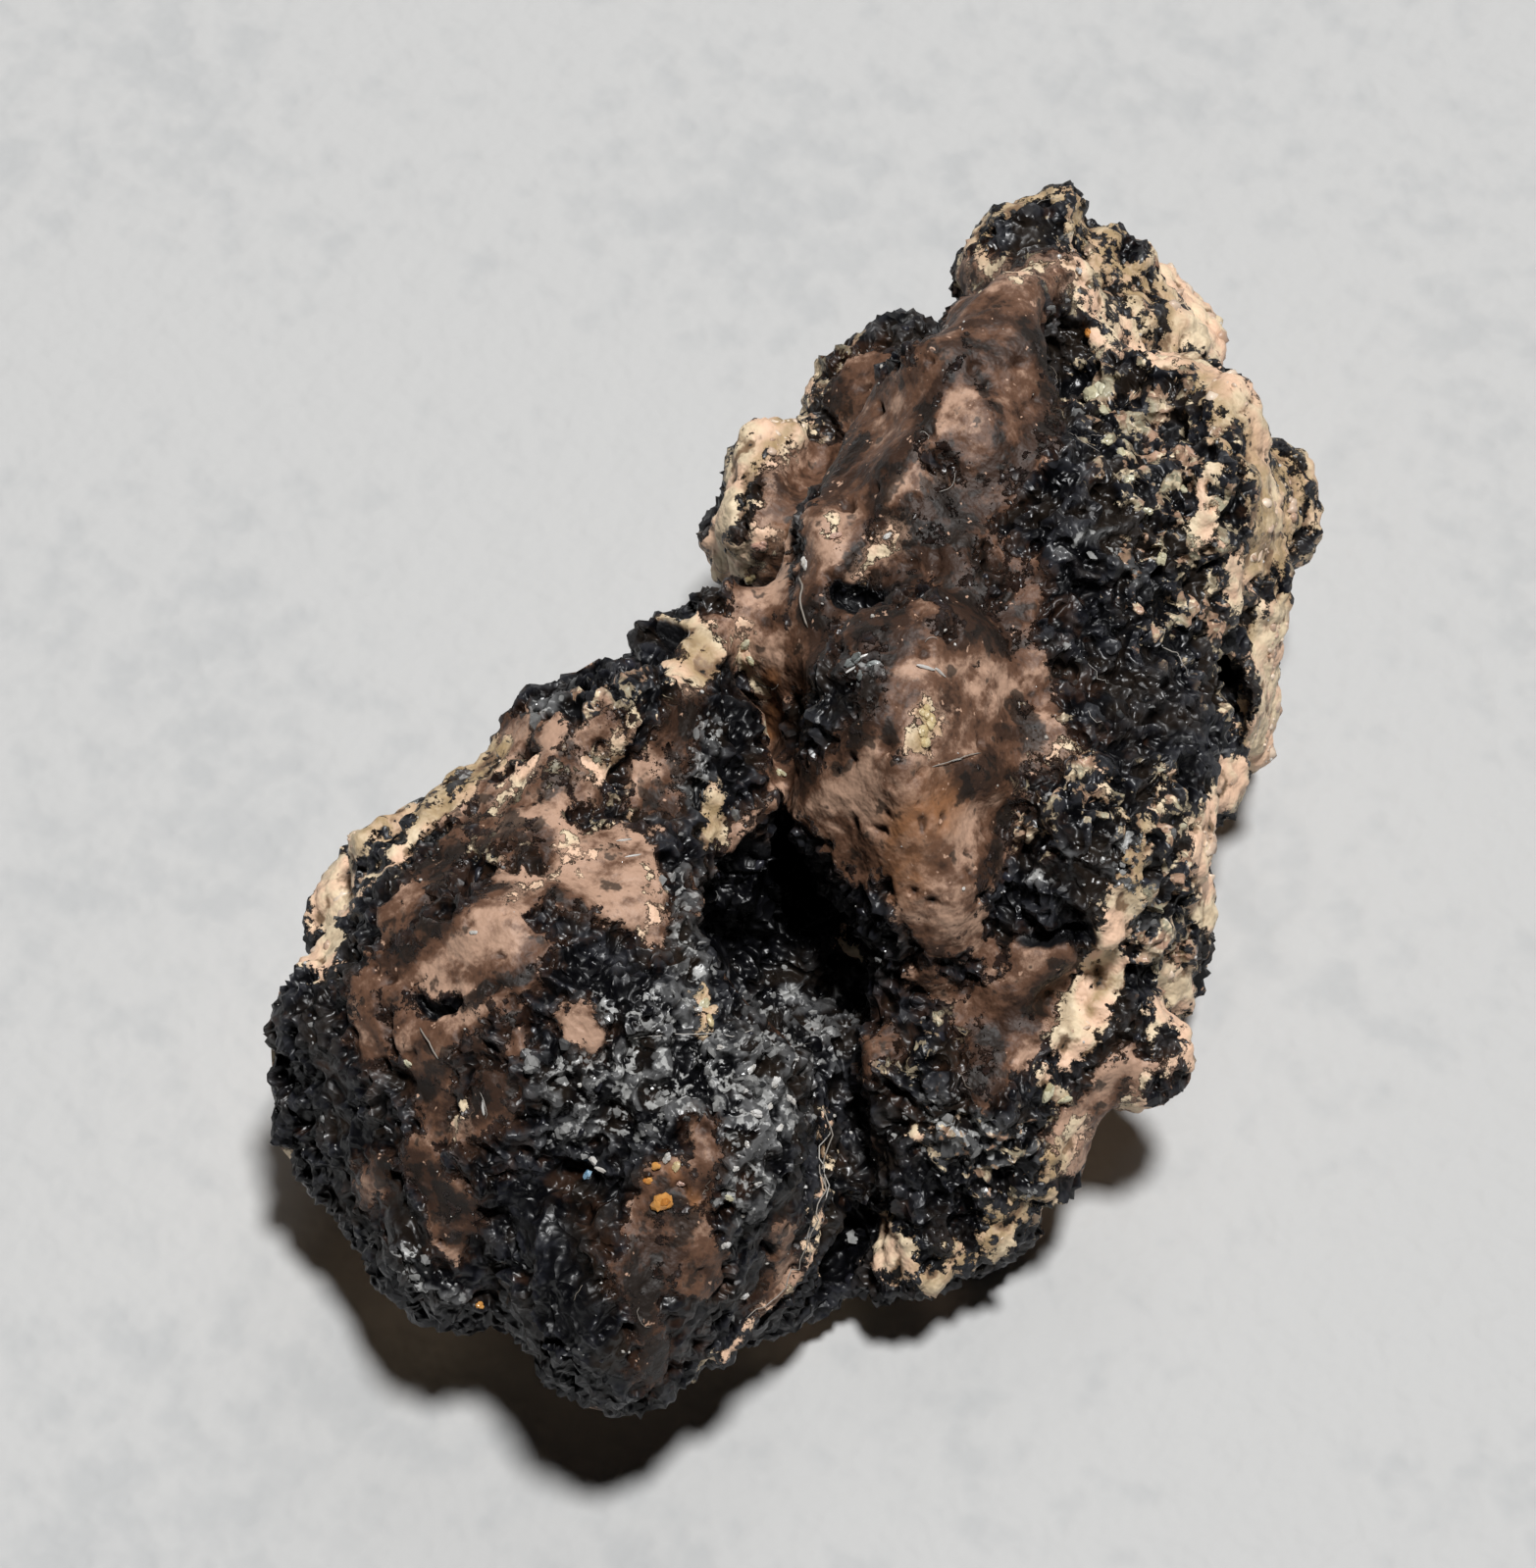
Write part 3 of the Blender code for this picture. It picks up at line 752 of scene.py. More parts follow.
class Sketch:
    """Short calls for wiring up one material's nodes."""

    def __init__(self, name: str) -> None:
        """Starts a material with its shader.

        Args:
            name: The material's name.
        """
        self.material = bpy.data.materials.new(name)
        self.material.use_nodes = True
        self.tree = self.material.node_tree
        self.shader = self.tree.nodes["Principled BSDF"]
        place = self.tree.nodes.new("ShaderNodeTexCoord")
        self.place = place.outputs["Object"]

    def link(self, value: object, socket: bpy.types.NodeSocket) -> None:
        """Wires a socket to another, or sets its value."""
        if isinstance(value, bpy.types.NodeSocket):
            self.tree.links.new(value, socket)
        elif isinstance(value, tuple) and len(value) == 3 and socket.type == "RGBA":
            socket.default_value = (*value, 1.0)
        else:
            socket.default_value = value

    def math(self, kind: str, *values: object) -> bpy.types.NodeSocket:
        """A maths node over numbers."""
        node = self.tree.nodes.new("ShaderNodeMath")
        node.operation = kind
        for value, socket in zip(values, node.inputs):
            self.link(value, socket)
        return node.outputs[0]

    def step(
        self, value: object, low: float, high: float, start: float = 0.0, end: float = 1.0
    ) -> bpy.types.NodeSocket:
        """A smooth step from start at low to end at high."""
        node = self.tree.nodes.new("ShaderNodeMapRange")
        node.interpolation_type = "SMOOTHSTEP"
        for number, item in enumerate((value, low, high, start, end)):
            self.link(item, node.inputs[number])
        return node.outputs[0]

    def mix(self, share: object, first: object, second: object) -> bpy.types.NodeSocket:
        """A colour between two colours."""
        node = self.tree.nodes.new("ShaderNodeMix")
        node.data_type = "RGBA"
        self.link(share, node.inputs["Factor"])
        self.link(first, node.inputs[6])
        self.link(second, node.inputs[7])
        return node.outputs[2]

    def vector(self, kind: str, *values: object) -> bpy.types.Node:
        """A maths node over vectors."""
        node = self.tree.nodes.new("ShaderNodeVectorMath")
        node.operation = kind
        for value, socket in zip(values, node.inputs):
            self.link(value, socket)
        return node

    def drawn_out(self, flow: tuple[float, float, float], share: float) -> bpy.types.NodeSocket:
        """The place, squeezed along a direction, so that noise there is drawn out along it."""
        along = Vector(flow).normalized()
        part = self.vector("DOT_PRODUCT", self.place, tuple(along)).outputs["Value"]
        cut = self.vector("SCALE", tuple(along))
        self.link(self.math("MULTIPLY", part, share - 1.0), cut.inputs["Scale"])
        return self.vector("ADD", self.place, cut.outputs[0]).outputs[0]

    def blend(self, share: object, first: object, second: object) -> bpy.types.NodeSocket:
        """A number between two numbers."""
        node = self.tree.nodes.new("ShaderNodeMix")
        for item, socket in zip((share, first, second), (node.inputs[0], node.inputs[2], node.inputs[3])):
            self.link(item, socket)
        return node.outputs[0]

    def ridge(self, rate: float) -> bpy.types.NodeSocket:
        """Noise folded into sharp crests, from 0 to 1."""
        swing = self.math("MULTIPLY_ADD", self.noise(rate, 0.6), 4.0, -2.0)
        return self.math("SUBTRACT", 1.0, self.math("ABSOLUTE", swing))

    def noise(
        self, rate: float, detail: float = 2.0, rough: float = 0.5, bend: float = 0.0, place: object = None
    ) -> bpy.types.NodeSocket:
        """Noise with that many waves in each millimetre, from 0 to 1."""
        node = self.tree.nodes.new("ShaderNodeTexNoise")
        self.link(place or self.place, node.inputs["Vector"])
        node.inputs["Scale"].default_value = rate / MM
        node.inputs["Detail"].default_value = detail
        node.inputs["Roughness"].default_value = rough
        node.inputs["Distortion"].default_value = bend
        return node.outputs["Fac"]

    def stored(self, name: str) -> tuple[bpy.types.NodeSocket, ...]:
        """The three numbers that the mesh keeps under one name."""
        node = self.tree.nodes.new("ShaderNodeAttribute")
        node.attribute_name = name
        parts = self.tree.nodes.new("ShaderNodeSeparateXYZ")
        self.link(node.outputs["Vector"], parts.inputs[0])
        return tuple(parts.outputs)

    def bump(self, height: object, depth: float) -> None:
        """Roughens the shader's normal by a height, at most so many millimetres."""
        node = self.tree.nodes.new("ShaderNodeBump")
        node.inputs["Distance"].default_value = depth * MM
        self.link(height, node.inputs["Height"])
        self.link(node.outputs["Normal"], self.shader.inputs["Normal"])

    def put(self, **values: object) -> None:
        """Wires or sets the shader's own sockets, named with underscores for spaces."""
        for name, value in values.items():
            self.link(value, self.shader.inputs[name.replace("_", " ")])


@dataclass(frozen=True)
class SkinFinish:
    """The skin's finish: oxide, flesh and pale inesite, mixed by the fields that the mesh keeps."""

    oxide_dark: Colour = (0.0021, 0.0021, 0.0031)
    oxide_mid: Colour = (0.0126, 0.0133, 0.0182)
    oxide_brown: Colour = (0.021, 0.014, 0.0091)
    # Grey of the silvery oxide, also used as a painted sheen on raised crust.
    oxide_silver: Colour = (0.122, 0.122, 0.122)
    # White of the painted glints.
    glint_white: Colour = (0.50, 0.50, 0.485)
    flesh_deep: Colour = (0.007, 0.0056, 0.0042)
    flesh_dark: Colour = (0.043, 0.020, 0.0112)
    flesh_mid: Colour = (0.135, 0.066, 0.038)
    flesh_light: Colour = (0.50, 0.315, 0.220)
    flesh_warm: Colour = (0.280, 0.122, 0.050)
    pale_pink: Colour = (0.82, 0.55, 0.385)
    pale_cream: Colour = (0.82, 0.67, 0.46)
    pale_tan: Colour = (0.231, 0.143, 0.081)
    pale_ochre: Colour = (0.40, 0.28, 0.145)
    speck_olive: Colour = (0.40, 0.365, 0.255)
    flow: tuple[float, float, float] = (-0.75, -0.65, -0.12)
    stretch: float = 0.55
    shine: float = 0.4
    crust_roughness: float = 0.58
    grit_depth: float = 0.22

    def oxide(self, s: Sketch, height: bpy.types.NodeSocket) -> bpy.types.NodeSocket:
        """The black crust's colour, with painted shade in its low places, a painted sheen on raised places and
        painted glints.

        Args:
            s: The material being drawn.
            height: How high the skin's relief is, from 0 to 1.

        Returns:
            The colour.
        """
        silver, speckle, stain = s.stored("dusts")
        fine, finest, broad = s.noise(2.2, 3.0, 0.55), s.noise(4.5, 2.0, 0.5), s.noise(0.8, 3.0)
        lift = s.math("MULTIPLY_ADD", s.math("SUBTRACT", fine, 0.5), 1.1, height)
        # Darker in low places and lighter on raised ones, with noise: painted shade and painted highlight over
        # the crust's own near-black.
        crust = s.mix(s.step(lift, 0.30, 0.72), self.oxide_dark, self.oxide_mid)
        crust = s.mix(s.math("MULTIPLY", s.step(broad, 0.46, 0.64), 0.7), crust, self.oxide_brown)
        film = s.step(s.math("MULTIPLY_ADD", stain, 0.12, s.noise(1.1, 3.0, 0.6)), 0.60, 0.72)
        crust = s.mix(s.math("MULTIPLY", film, 0.6), crust, self.flesh_dark)
        # Raised places take a grey sheen, stronger in silver zones: painted sheen, with the silvery oxide's
        # own grey in those zones.
        shining = s.step(s.math("MULTIPLY_ADD", silver, 0.15, lift), 0.48, 0.80)
        sheen = s.math("MULTIPLY", shining, s.math("MULTIPLY_ADD", silver, 0.72, 0.12))
        crust = s.mix(sheen, crust, self.oxide_silver)
        # Tiny white spots, most of all in silver zones: painted glints.
        sparkle = s.math("MULTIPLY", s.math("ADD", fine, finest), 0.5)
        painted_glints = s.step(s.math("MULTIPLY_ADD", silver, 0.10, sparkle), 0.635, 0.675)
        painted_glints = s.math("MULTIPLY", painted_glints, s.math("MULTIPLY_ADD", silver, 0.65, 0.12))
        crust = s.mix(painted_glints, crust, self.glint_white)
        worms = s.math("MULTIPLY_ADD", lift, 0.14, s.noise(2.1, 4.0, 0.62, 0.5))
        worms = s.math("ADD", s.math("MULTIPLY", speckle, 0.10), worms)
        specks = s.math("MULTIPLY", s.step(worms, 0.685, 0.72), s.step(speckle, 0.0, 0.2))
        pebble = s.mix(s.step(s.noise(1.2, 1.0), 0.44, 0.60), self.speck_olive, self.flesh_light)
        pebble = s.mix(s.step(worms, 0.74, 0.80), s.mix(0.5, pebble, self.pale_tan), pebble)
        return s.mix(specks, crust, s.mix(s.step(finest, 0.56, 0.66), pebble, self.pale_cream))

    def flesh(self, s: Sketch, height: bpy.types.NodeSocket) -> bpy.types.NodeSocket:
        """The brown waxy inesite's colour, streaked along its flow, with painted light on raised places and
        painted shade in hollows.

        Args:
            s: The material being drawn.
            height: How high the skin's relief is, from 0 to 1.

        Returns:
            The colour.
        """
        light, deep, warm = s.stored("tints")
        streak = s.noise(1.1, 3.0, 0.55, 0.3, s.drawn_out(self.flow, self.stretch))
        # The light tint makes patches of flesh lighter; some of them are painted highlights.
        shade = s.math("ADD", streak, s.math("MULTIPLY", s.math("SUBTRACT", light, deep), 0.19))
        # Raised flesh is lighter: painted highlight.
        shade = s.math("MULTIPLY_ADD", height, 0.16, s.math("SUBTRACT", shade, 0.08))
        fine = s.math("SUBTRACT", s.noise(3.4, 4.0, 0.66), 0.5)
        shade = s.math("MULTIPLY_ADD", fine, 0.55, shade)
        meat = s.mix(s.step(shade, 0.36, 0.52), self.flesh_dark, self.flesh_mid)
        meat = s.mix(s.step(shade, 0.52, 0.76), meat, self.flesh_light)
        meat = s.mix(s.math("MULTIPLY", warm, s.step(streak, 0.38, 0.58, 0.35, 0.95)), meat, self.flesh_warm)
        # Low flesh darkened towards flesh_dark: painted shade in hollows.
        meat = s.mix(s.step(height, 0.46, 0.20, 0.0, 0.75), meat, self.flesh_dark)
        soot = s.math("MULTIPLY_ADD", deep, 0.16, s.noise(1.7, 3.0, 0.6))
        meat = s.mix(s.math("MULTIPLY", s.step(soot, 0.60, 0.68), 0.8), meat, self.flesh_deep)
        return s.mix(s.step(s.noise(4.2, 2.0, 0.6), 0.68, 0.73), meat, self.flesh_light)

    def bone(self, s: Sketch, height: bpy.types.NodeSocket) -> bpy.types.NodeSocket:
        """The pale inesite's colour, dark in its creases.

        Args:
            s: The material being drawn.
            height: How high the skin's relief is, from 0 to 1.

        Returns:
            The colour.
        """
        ochre = s.stored("films")[0]
        fine = s.noise(3.0, 3.0, 0.55)
        pale = s.mix(s.step(s.noise(1.1, 3.0), 0.40, 0.60), self.pale_pink, self.pale_cream)
        pale = s.mix(s.math("MULTIPLY", ochre, s.step(fine, 0.3, 0.6, 0.4, 0.95)), pale, self.pale_ochre)
        lift = s.math("MULTIPLY_ADD", s.math("SUBTRACT", fine, 0.5), 0.9, height)
        tan = s.step(s.noise(1.1, 3.0, 0.6), 0.55, 0.66)
        pale = s.mix(s.math("MULTIPLY", tan, 0.4), pale, self.pale_tan)
        pale = s.mix(s.step(lift, 0.44, 0.24), pale, self.pale_tan)
        return s.mix(s.step(lift, 0.22, 0.10), pale, self.flesh_deep)

    def material(self) -> bpy.types.Material:
        """Builds the material.

        Returns:
            The material.
        """
        s = Sketch("oxide and inesite")
        flesh_edge, pale_edge, pit = s.stored("bodies")
        _, height, glaze = s.stored("films")
        _, deep, _ = s.stored("tints")
        tatter = s.math("SUBTRACT", s.noise(2.4, 5.0, 0.68), 0.5)
        mottled = s.blend(deep, flesh_edge, s.math("MINIMUM", flesh_edge, 0.10))
        flesh_in = s.math("MULTIPLY_ADD", tatter, 1.5, mottled)
        flesh = s.step(flesh_in, -0.03, 0.05)
        broken = s.blend(deep, pale_edge, s.math("MINIMUM", pale_edge, 0.04))
        pale_in = s.math("MULTIPLY_ADD", tatter, -1.7, broken)
        halo = s.math("MULTIPLY", s.step(pale_in, -0.30, 0.02), 0.65)
        pale = s.step(pale_in, -0.03, 0.07)
        film = s.math("MULTIPLY", s.step(flesh_in, -0.30, 0.0), 0.6)

        colour = s.mix(film, self.oxide(s, height), self.flesh_dark)
        colour = s.mix(flesh, colour, s.mix(halo, self.flesh(s, height), self.flesh_light))
        colour = s.mix(pale, colour, self.bone(s, height))
        # Holes and the undercut are painted near-black: painted shade, besides their dent in the relief.
        colour = s.mix(s.step(pit, 0.0, 0.35), colour, self.oxide_dark)

        mask = s.math("MAXIMUM", flesh, pale)
        crumple = s.math("ADD", s.ridge(1.3), s.math("MULTIPLY", s.ridge(2.7), 0.4))
        crumple = s.math("MULTIPLY", crumple, s.math("MULTIPLY_ADD", glaze, -0.5, 1.0))
        waxy = s.math("MULTIPLY", s.noise(2.8, 2.5, 0.6), 0.40)
        chalk = s.math("MULTIPLY", s.noise(1.7, 3.0, 0.62), 0.75)
        grit = s.blend(pale, s.blend(mask, crumple, waxy), chalk)
        patchy = s.step(s.noise(1.5, 2.0), 0.3, 0.7, 0.29, 0.50)
        s.put(Base_Color=colour, Roughness=s.blend(mask, patchy, self.crust_roughness))
        s.put(Specular_IOR_Level=self.shine)
        s.bump(grit, self.grit_depth)
        return s.material


@dataclass(frozen=True)
class Relief:
    """How high each form of the skin stands, in millimetres.

    Span is the relief's whole range for the colours. Below level_near_floor the relief fades away.
    """

    crust_knobs: float = 0.16
    crust_pebbles: float = 0.06
    crust_crests: float = 0.38
    crust_crinkles: float = 0.22
    crust_grit: float = 0.07
    crust_sink: float = 0.10
    flesh_waves: float = 0.13
    flesh_crinkles: float = 0.015
    flesh_dimples: float = 0.17
    pale_knobs: float = 0.24
    pale_pebbles: float = 0.22
    soft_grit: float = 0.03
    soft_rise: float = 0.03
    pits: float = 0.55
    crests: float = 0.22
    span: float = 0.36
    level_near_floor: float = 0.5


@dataclass
class StoneSkin:
    """The stone's own skin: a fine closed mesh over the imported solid, with its relief."""

    view: PhotographView
    finish: SkinFinish = field(default_factory=SkinFinish)
    forms: Relief = field(default_factory=Relief)
    step: float = 0.115
    smoothing: int = 14
    triangles: int = 196000
    weld: float = 0.0001
    hidden_thinning: float = 1000.0
    floor: float = 0.01
    depth_share: float = 0.45
    edge_wander: float = 0.38
    low_level: float = 3.2

    def packed(self) -> bpy.types.Object:
        """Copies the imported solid, welded and in millimetres.

        Returns:
            The copy, linked to the scene.
        """
        shape = bmesh.new()
        shape.from_mesh(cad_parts["stone"].data)
        bmesh.ops.remove_doubles(shape, verts=shape.verts, dist=self.weld * MM)
        bmesh.ops.scale(shape, vec=Vector((1 / MM,) * 3), verts=shape.verts)
        mesh = bpy.data.meshes.new("base")
        shape.to_mesh(mesh)
        shape.free()
        thing = bpy.data.objects.new("base", mesh)
        bpy.context.scene.collection.objects.link(thing)
        return thing

    def evened(self, thing: bpy.types.Object) -> bpy.types.Mesh:
        """Rounds the solid off with one fine, even mesh.

        Args:
            thing: The solid's copy.

        Returns:
            The even mesh.
        """
        round_off = thing.modifiers.new("round off", "SUBSURF")
        round_off.levels = 1
        even = thing.modifiers.new("even", "REMESH")
        even.mode = "VOXEL"
        even.voxel_size = self.step
        calm = thing.modifiers.new("calm", "SMOOTH")
        calm.factor = 0.5
        calm.iterations = self.smoothing
        return applied(thing)

    def thinned(self, thing: bpy.types.Object) -> bpy.types.Mesh:
        """Takes triangles out, most of them on the side away from the camera.

        Args:
            thing: The object with the even mesh.

        Returns:
            The mesh that is left.
        """
        hidden = thing.vertex_groups.new(name="hidden")
        facing = corner_array(thing.data, "normal") @ self.view.back
        for number, share in enumerate(ease(facing, 0.0, -0.1).tolist()):
            hidden.add((number,), share, "REPLACE")
        thin = thing.modifiers.new("thin", "DECIMATE")
        thin.vertex_group = hidden.name
        thin.vertex_group_factor = self.hidden_thinning
        thin.use_collapse_triangulate = True
        thin.ratio = self.triangles / triangle_count(thing.data)
        return applied(thing)

    def base(self) -> Surface:
        """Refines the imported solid.

        Returns:
            The fine mesh before any relief.
        """
        thing = self.packed()
        thing.data = self.evened(thing)
        made = self.thinned(thing)
        bpy.data.objects.remove(thing, do_unlink=True)
        faces = np.empty(len(made.loops), np.int64)
        made.loops.foreach_get("vertex_index", faces)
        return Surface(corner_array(made, "co"), faces.reshape(-1, 3))

    def anchor(self, tree: BVHTree, pixels: Sequence[Pixel]) -> np.ndarray:
        """Finds what pixels show on the skin.

        Args:
            tree: The skin's search tree.
            pixels: Pixels of the photograph.

        Returns:
            Across, up and nearness of each, as the view gives them.
        """
        found = self.view.on_plane(pixels)
        near = []
        for pixel in pixels:
            hit, _ = self.view.shown(tree, pixel)
            near.append(math.nan if hit is None else self.view.seen(np.array([hit]))[0, 2])
        depths = np.array(near)
        depths[np.isnan(depths)] = np.nanmean(depths) if not np.isnan(depths).all() else 0.0
        return np.column_stack((found, depths))

    def ground(self, skin: Surface, bend: Grain) -> dict[Coat, np.ndarray]:
        """What covers the skin before any stroke: crust, and a guess on the side that the photograph hides.

        Args:
            skin: The skin.
            bend: The noise that shapes the patches.

        Returns:
            A field for each coat.
        """
        hidden = ease(skin.normals @ self.view.back, 0.12, -0.2)
        drift = bend.layers(skin.points, 0.22, 2)
        patch = bend.layers(skin.points + 40.0, 0.35, 3)
        low = self.low_level - skin.points[:, 2]
        fields = {coat: np.full(len(skin.points), -1.0) for coat in Coat}
        fields[Coat.FLESH] = -1.0 + hidden * np.clip(patch * 2.2 + 0.75, 0.0, 1.6)
        fields[Coat.PALE] = -1.0 + hidden * np.clip(0.9 + 0.22 * low + drift * 2.0 + patch, 0.0, 1.8)
        fields[Coat.CRUST] = np.full(len(skin.points), 1.0)
        fields[Coat.DEEP] = hidden * np.clip(0.45 - patch * 2.4, 0.0, 1.0)
        return fields

    def paint(self, skin: Surface) -> None:
        """Lays every stroke on the skin, as millimetres inside its ragged edge.

        Args:
            skin: The skin, whose fields are filled in.
        """
        bend = Grain(11)
        fields = self.ground(skin, bend)
        seen = self.view.seen(skin.points)
        for axis, offset in enumerate((0.0, 31.0)):
            wobble = bend.layers(skin.points + offset, 0.9, 3, 0.6)
            seen[:, axis] += wobble * self.edge_wander
        seen[:, 2] *= self.depth_share
        tree = skin.tree()
        for stroke in STROKES:
            path = self.anchor(tree, stroke.path) * (1.0, 1.0, self.depth_share)
            inside = stroke.reach - distance_to_path(seen, path)
            if stroke.coat in BODIES:
                for body in BODIES:
                    if body is stroke.coat:
                        fields[body] = np.maximum(fields[body], inside)
                    else:
                        fields[body] = np.minimum(fields[body], -inside)
            else:
                fields[stroke.coat] = np.maximum(fields[stroke.coat], inside / stroke.reach)
        skin.fields = {coat: np.clip(value, -1.0, 1.0) for coat, value in fields.items()}

    def relief(self, skin: Surface) -> None:
        """Raises and sinks the skin along its normals.

        Args:
            skin: The painted skin, whose corners are moved.
        """
        rough, knob = Grain(3), Grain(7)
        form = self.forms
        p = skin.points
        flesh = ease(skin.fields[Coat.FLESH], -0.10, 0.12)
        pale = ease(skin.fields[Coat.PALE], -0.12, 0.12)
        crust = np.clip(1.0 - flesh - pale, 0.0, 1.0)
        warped = p + 0.3 * np.stack([rough.layers(p + shift, 1.4, 2) for shift in (0.0, 50.0, 90.0)], 1)
        big, _ = knob.cells(warped, 1.15)
        small, tag = knob.cells(warped + 9.0, 2.1)
        crest = 1.0 - np.abs(rough.waves(warped * 1.3 + 5.0)) * 1.6
        crinkle = 1.0 - np.abs(rough.waves(warped * 2.5 + 25.0)) * 1.6
        grit = rough.layers(p, 3.0, 2, 0.7)
        black = form.crust_knobs * (0.5 - big) + form.crust_pebbles * (0.45 - small)
        black = black + form.crust_crests * (crest - 0.5) + form.crust_crinkles * (crinkle - 0.5)
        black = black + form.crust_grit * grit
        black = black * (1.0 - 0.5 * ease(skin.fields[Coat.GLAZE], 0.0, 0.7)) - form.crust_sink
        dimple = ease(small, 0.42, 0.10) * (tag > 0.78)
        waxy = form.flesh_waves * rough.layers(p, 0.9, 3) + form.flesh_crinkles * (crinkle - 0.5)
        waxy = waxy + form.soft_grit * grit - form.flesh_dimples * dimple + form.soft_rise
        bone = form.pale_knobs * (0.5 - big) + form.pale_pebbles * (0.5 - small)
        bone = bone + form.soft_grit * grit + form.soft_rise
        pit = ease(skin.fields[Coat.PIT_AND_SHADE], 0.0, 0.9)
        rise = ease(skin.fields[Coat.RAISE], 0.0, 1.0)
        height = crust * black + flesh * waxy + pale * bone - form.pits * pit + form.crests * rise
        calm = ease(p[:, 2], 0.0, form.level_near_floor)
        skin.height = np.clip(0.5 + height / form.span, 0.0, 1.0)
        skin.points = p + skin.normals * (height * calm)[:, None]
        skin.points[:, 2] = np.maximum(skin.points[:, 2], self.floor)
        skin.normals = skin.corner_normals()

    def build(self) -> Surface:
        """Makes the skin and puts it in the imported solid's place.

        Returns:
            The skin's arrays, for what grows on it.
        """
        skin = self.base()
        self.paint(skin)
        self.relief(skin)
        thing = mesh_object("stone_skin", skin.points, skin.faces, smooth=True)
        kept = skin.fields
        keep_vectors(thing, "bodies", (kept[Coat.FLESH], kept[Coat.PALE], kept[Coat.PIT_AND_SHADE]))
        soft = {coat: ease(kept[coat], 0.0, 0.8) for coat in Coat}
        keep_vectors(thing, "tints", (soft[Coat.LIGHT], soft[Coat.DEEP], soft[Coat.WARM]))
        keep_vectors(thing, "dusts", (soft[Coat.SILVER], soft[Coat.SPECKLE], soft[Coat.STAIN]))
        keep_vectors(thing, "films", (soft[Coat.OCHRE], skin.height, soft[Coat.GLAZE]))
        thing.data.materials.append(self.finish.material())
        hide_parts("stone")
        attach(thing, "root")
        report(thing)
        return skin


def distance_to_path(points: np.ndarray, path: np.ndarray) -> np.ndarray:
    """How far points are from a line through several points.

    Args:
        points: Points, one row each.
        path: The line's points, one row each.

    Returns:
        Each point's distance to the nearest part of the line.
    """
    best = np.full(len(points), np.inf)
    for start, end in zip(path[:-1], path[1:]):
        along = end - start
        share = np.clip((points - start) @ along / max(along @ along, 1e-9), 0.0, 1.0)
        best = np.minimum(best, np.linalg.norm(points - start - share[:, None] * along, axis=1))
    return best


def report(thing: bpy.types.Object) -> None:
    """Logs a finished piece and its number of triangles."""
    LOG.info("%s: %d triangles", thing.name, triangle_count(thing.data))


@dataclass(frozen=True)
class GrainFinish:
    """The finish of one kind of grain. Each grain keeps its own shade, from 0 to 1."""

    name: str
    dark: Colour
    light: Colour
    roughness: float
    bump: float = 0.01

    def material(self) -> bpy.types.Material:
        """Builds the material.

        Returns:
            The material.
        """
        s = Sketch(self.name)
        shade, _, _ = s.stored("shade")
        fine = s.noise(7.0, 1.0)
        share = s.math("MULTIPLY_ADD", fine, 0.4, s.math("SUBTRACT", shade, 0.2))
        s.put(Base_Color=s.mix(share, self.dark, self.light), Roughness=self.roughness)
        s.bump(fine, self.bump)
        return s.material


def dress(thing: bpy.types.Object, shade: np.ndarray, finish: GrainFinish) -> None:
    """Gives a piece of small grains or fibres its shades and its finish.

    Args:
        thing: The piece.
        shade: Each corner's shade, from 0 to 1.
        finish: The finish.
    """
    keep_vectors(thing, "shade", (shade, shade, shade))
    thing.data.materials.append(finish.material())
    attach(thing, "root")
    report(thing)


def grains(
    centres: np.ndarray, frames: np.ndarray, halves: np.ndarray, rounds: int, draw: np.random.Generator
) -> tuple[np.ndarray, np.ndarray, np.ndarray]:
    """Rough pebbles, each from a ball whose corners are pushed in and out.

    Args:
        centres: Their middles, one row each.
        frames: Their directions, one three by three matrix each.
        halves: Their half-lengths along those directions, one row each.
        rounds: How finely each ball is divided.
        draw: Where the chance comes from.

    Returns:
        All corners, all triangles, and each corner's shade.
    """
    shape = bmesh.new()
    bmesh.ops.create_icosphere(shape, subdivisions=rounds, radius=1.0)
    ball = np.array([corner.co for corner in shape.verts])
    faces = np.array([[corner.index for corner in face.verts] for face in shape.faces])
    shape.free()
    jitter = draw.uniform(*DENTS, (len(centres), len(ball), 1))
    local = ball[None] * jitter * halves[:, None]
    points = np.einsum("nij,nkj->nki", frames, local) + centres[:, None]
    links = faces[None] + np.arange(len(centres))[:, None, None] * len(ball)
    shade = np.repeat(draw.random(len(centres)), len(ball))
    return points.reshape(-1, 3), links.reshape(-1, 3), shade


@dataclass(frozen=True)
class GrainCoat:
    """Many small faceted grains sunk into the skin, joined in one piece."""

    name: str
    slot: str
    finish: GrainFinish
    count: int
    sizes: tuple[float, float]
    sink: float
    seed: int
    rounds: int = 1
    spread: tuple[float, float] = (0.65, 1.25)
    rareness: float = 1.6
    clearance: float = 1.5

    def build(self, skin: Surface, weight: np.ndarray) -> None:
        """Scatters the grains.

        Args:
            skin: The skin that they sit in.
            weight: How likely a grain is at each of its corners.
        """
        draw = np.random.default_rng(self.seed)
        places, normals = skin.scatter(weight, self.count, draw)
        low, high = self.sizes
        size = low * (high / low) ** (draw.random(self.count) ** self.rareness) / 2
        halves = size[:, None] * draw.uniform(*self.spread, (self.count, 3))
        centres = places + normals * (size * self.sink)[:, None]
        centres[:, 2] = np.maximum(centres[:, 2], size * self.clearance)
        points, links, shade = grains(centres, random_turns(self.count, draw), halves, self.rounds, draw)
        thing = mesh_object(self.name, points, links, self.rounds > 1)
        dress(thing, shade, self.finish)


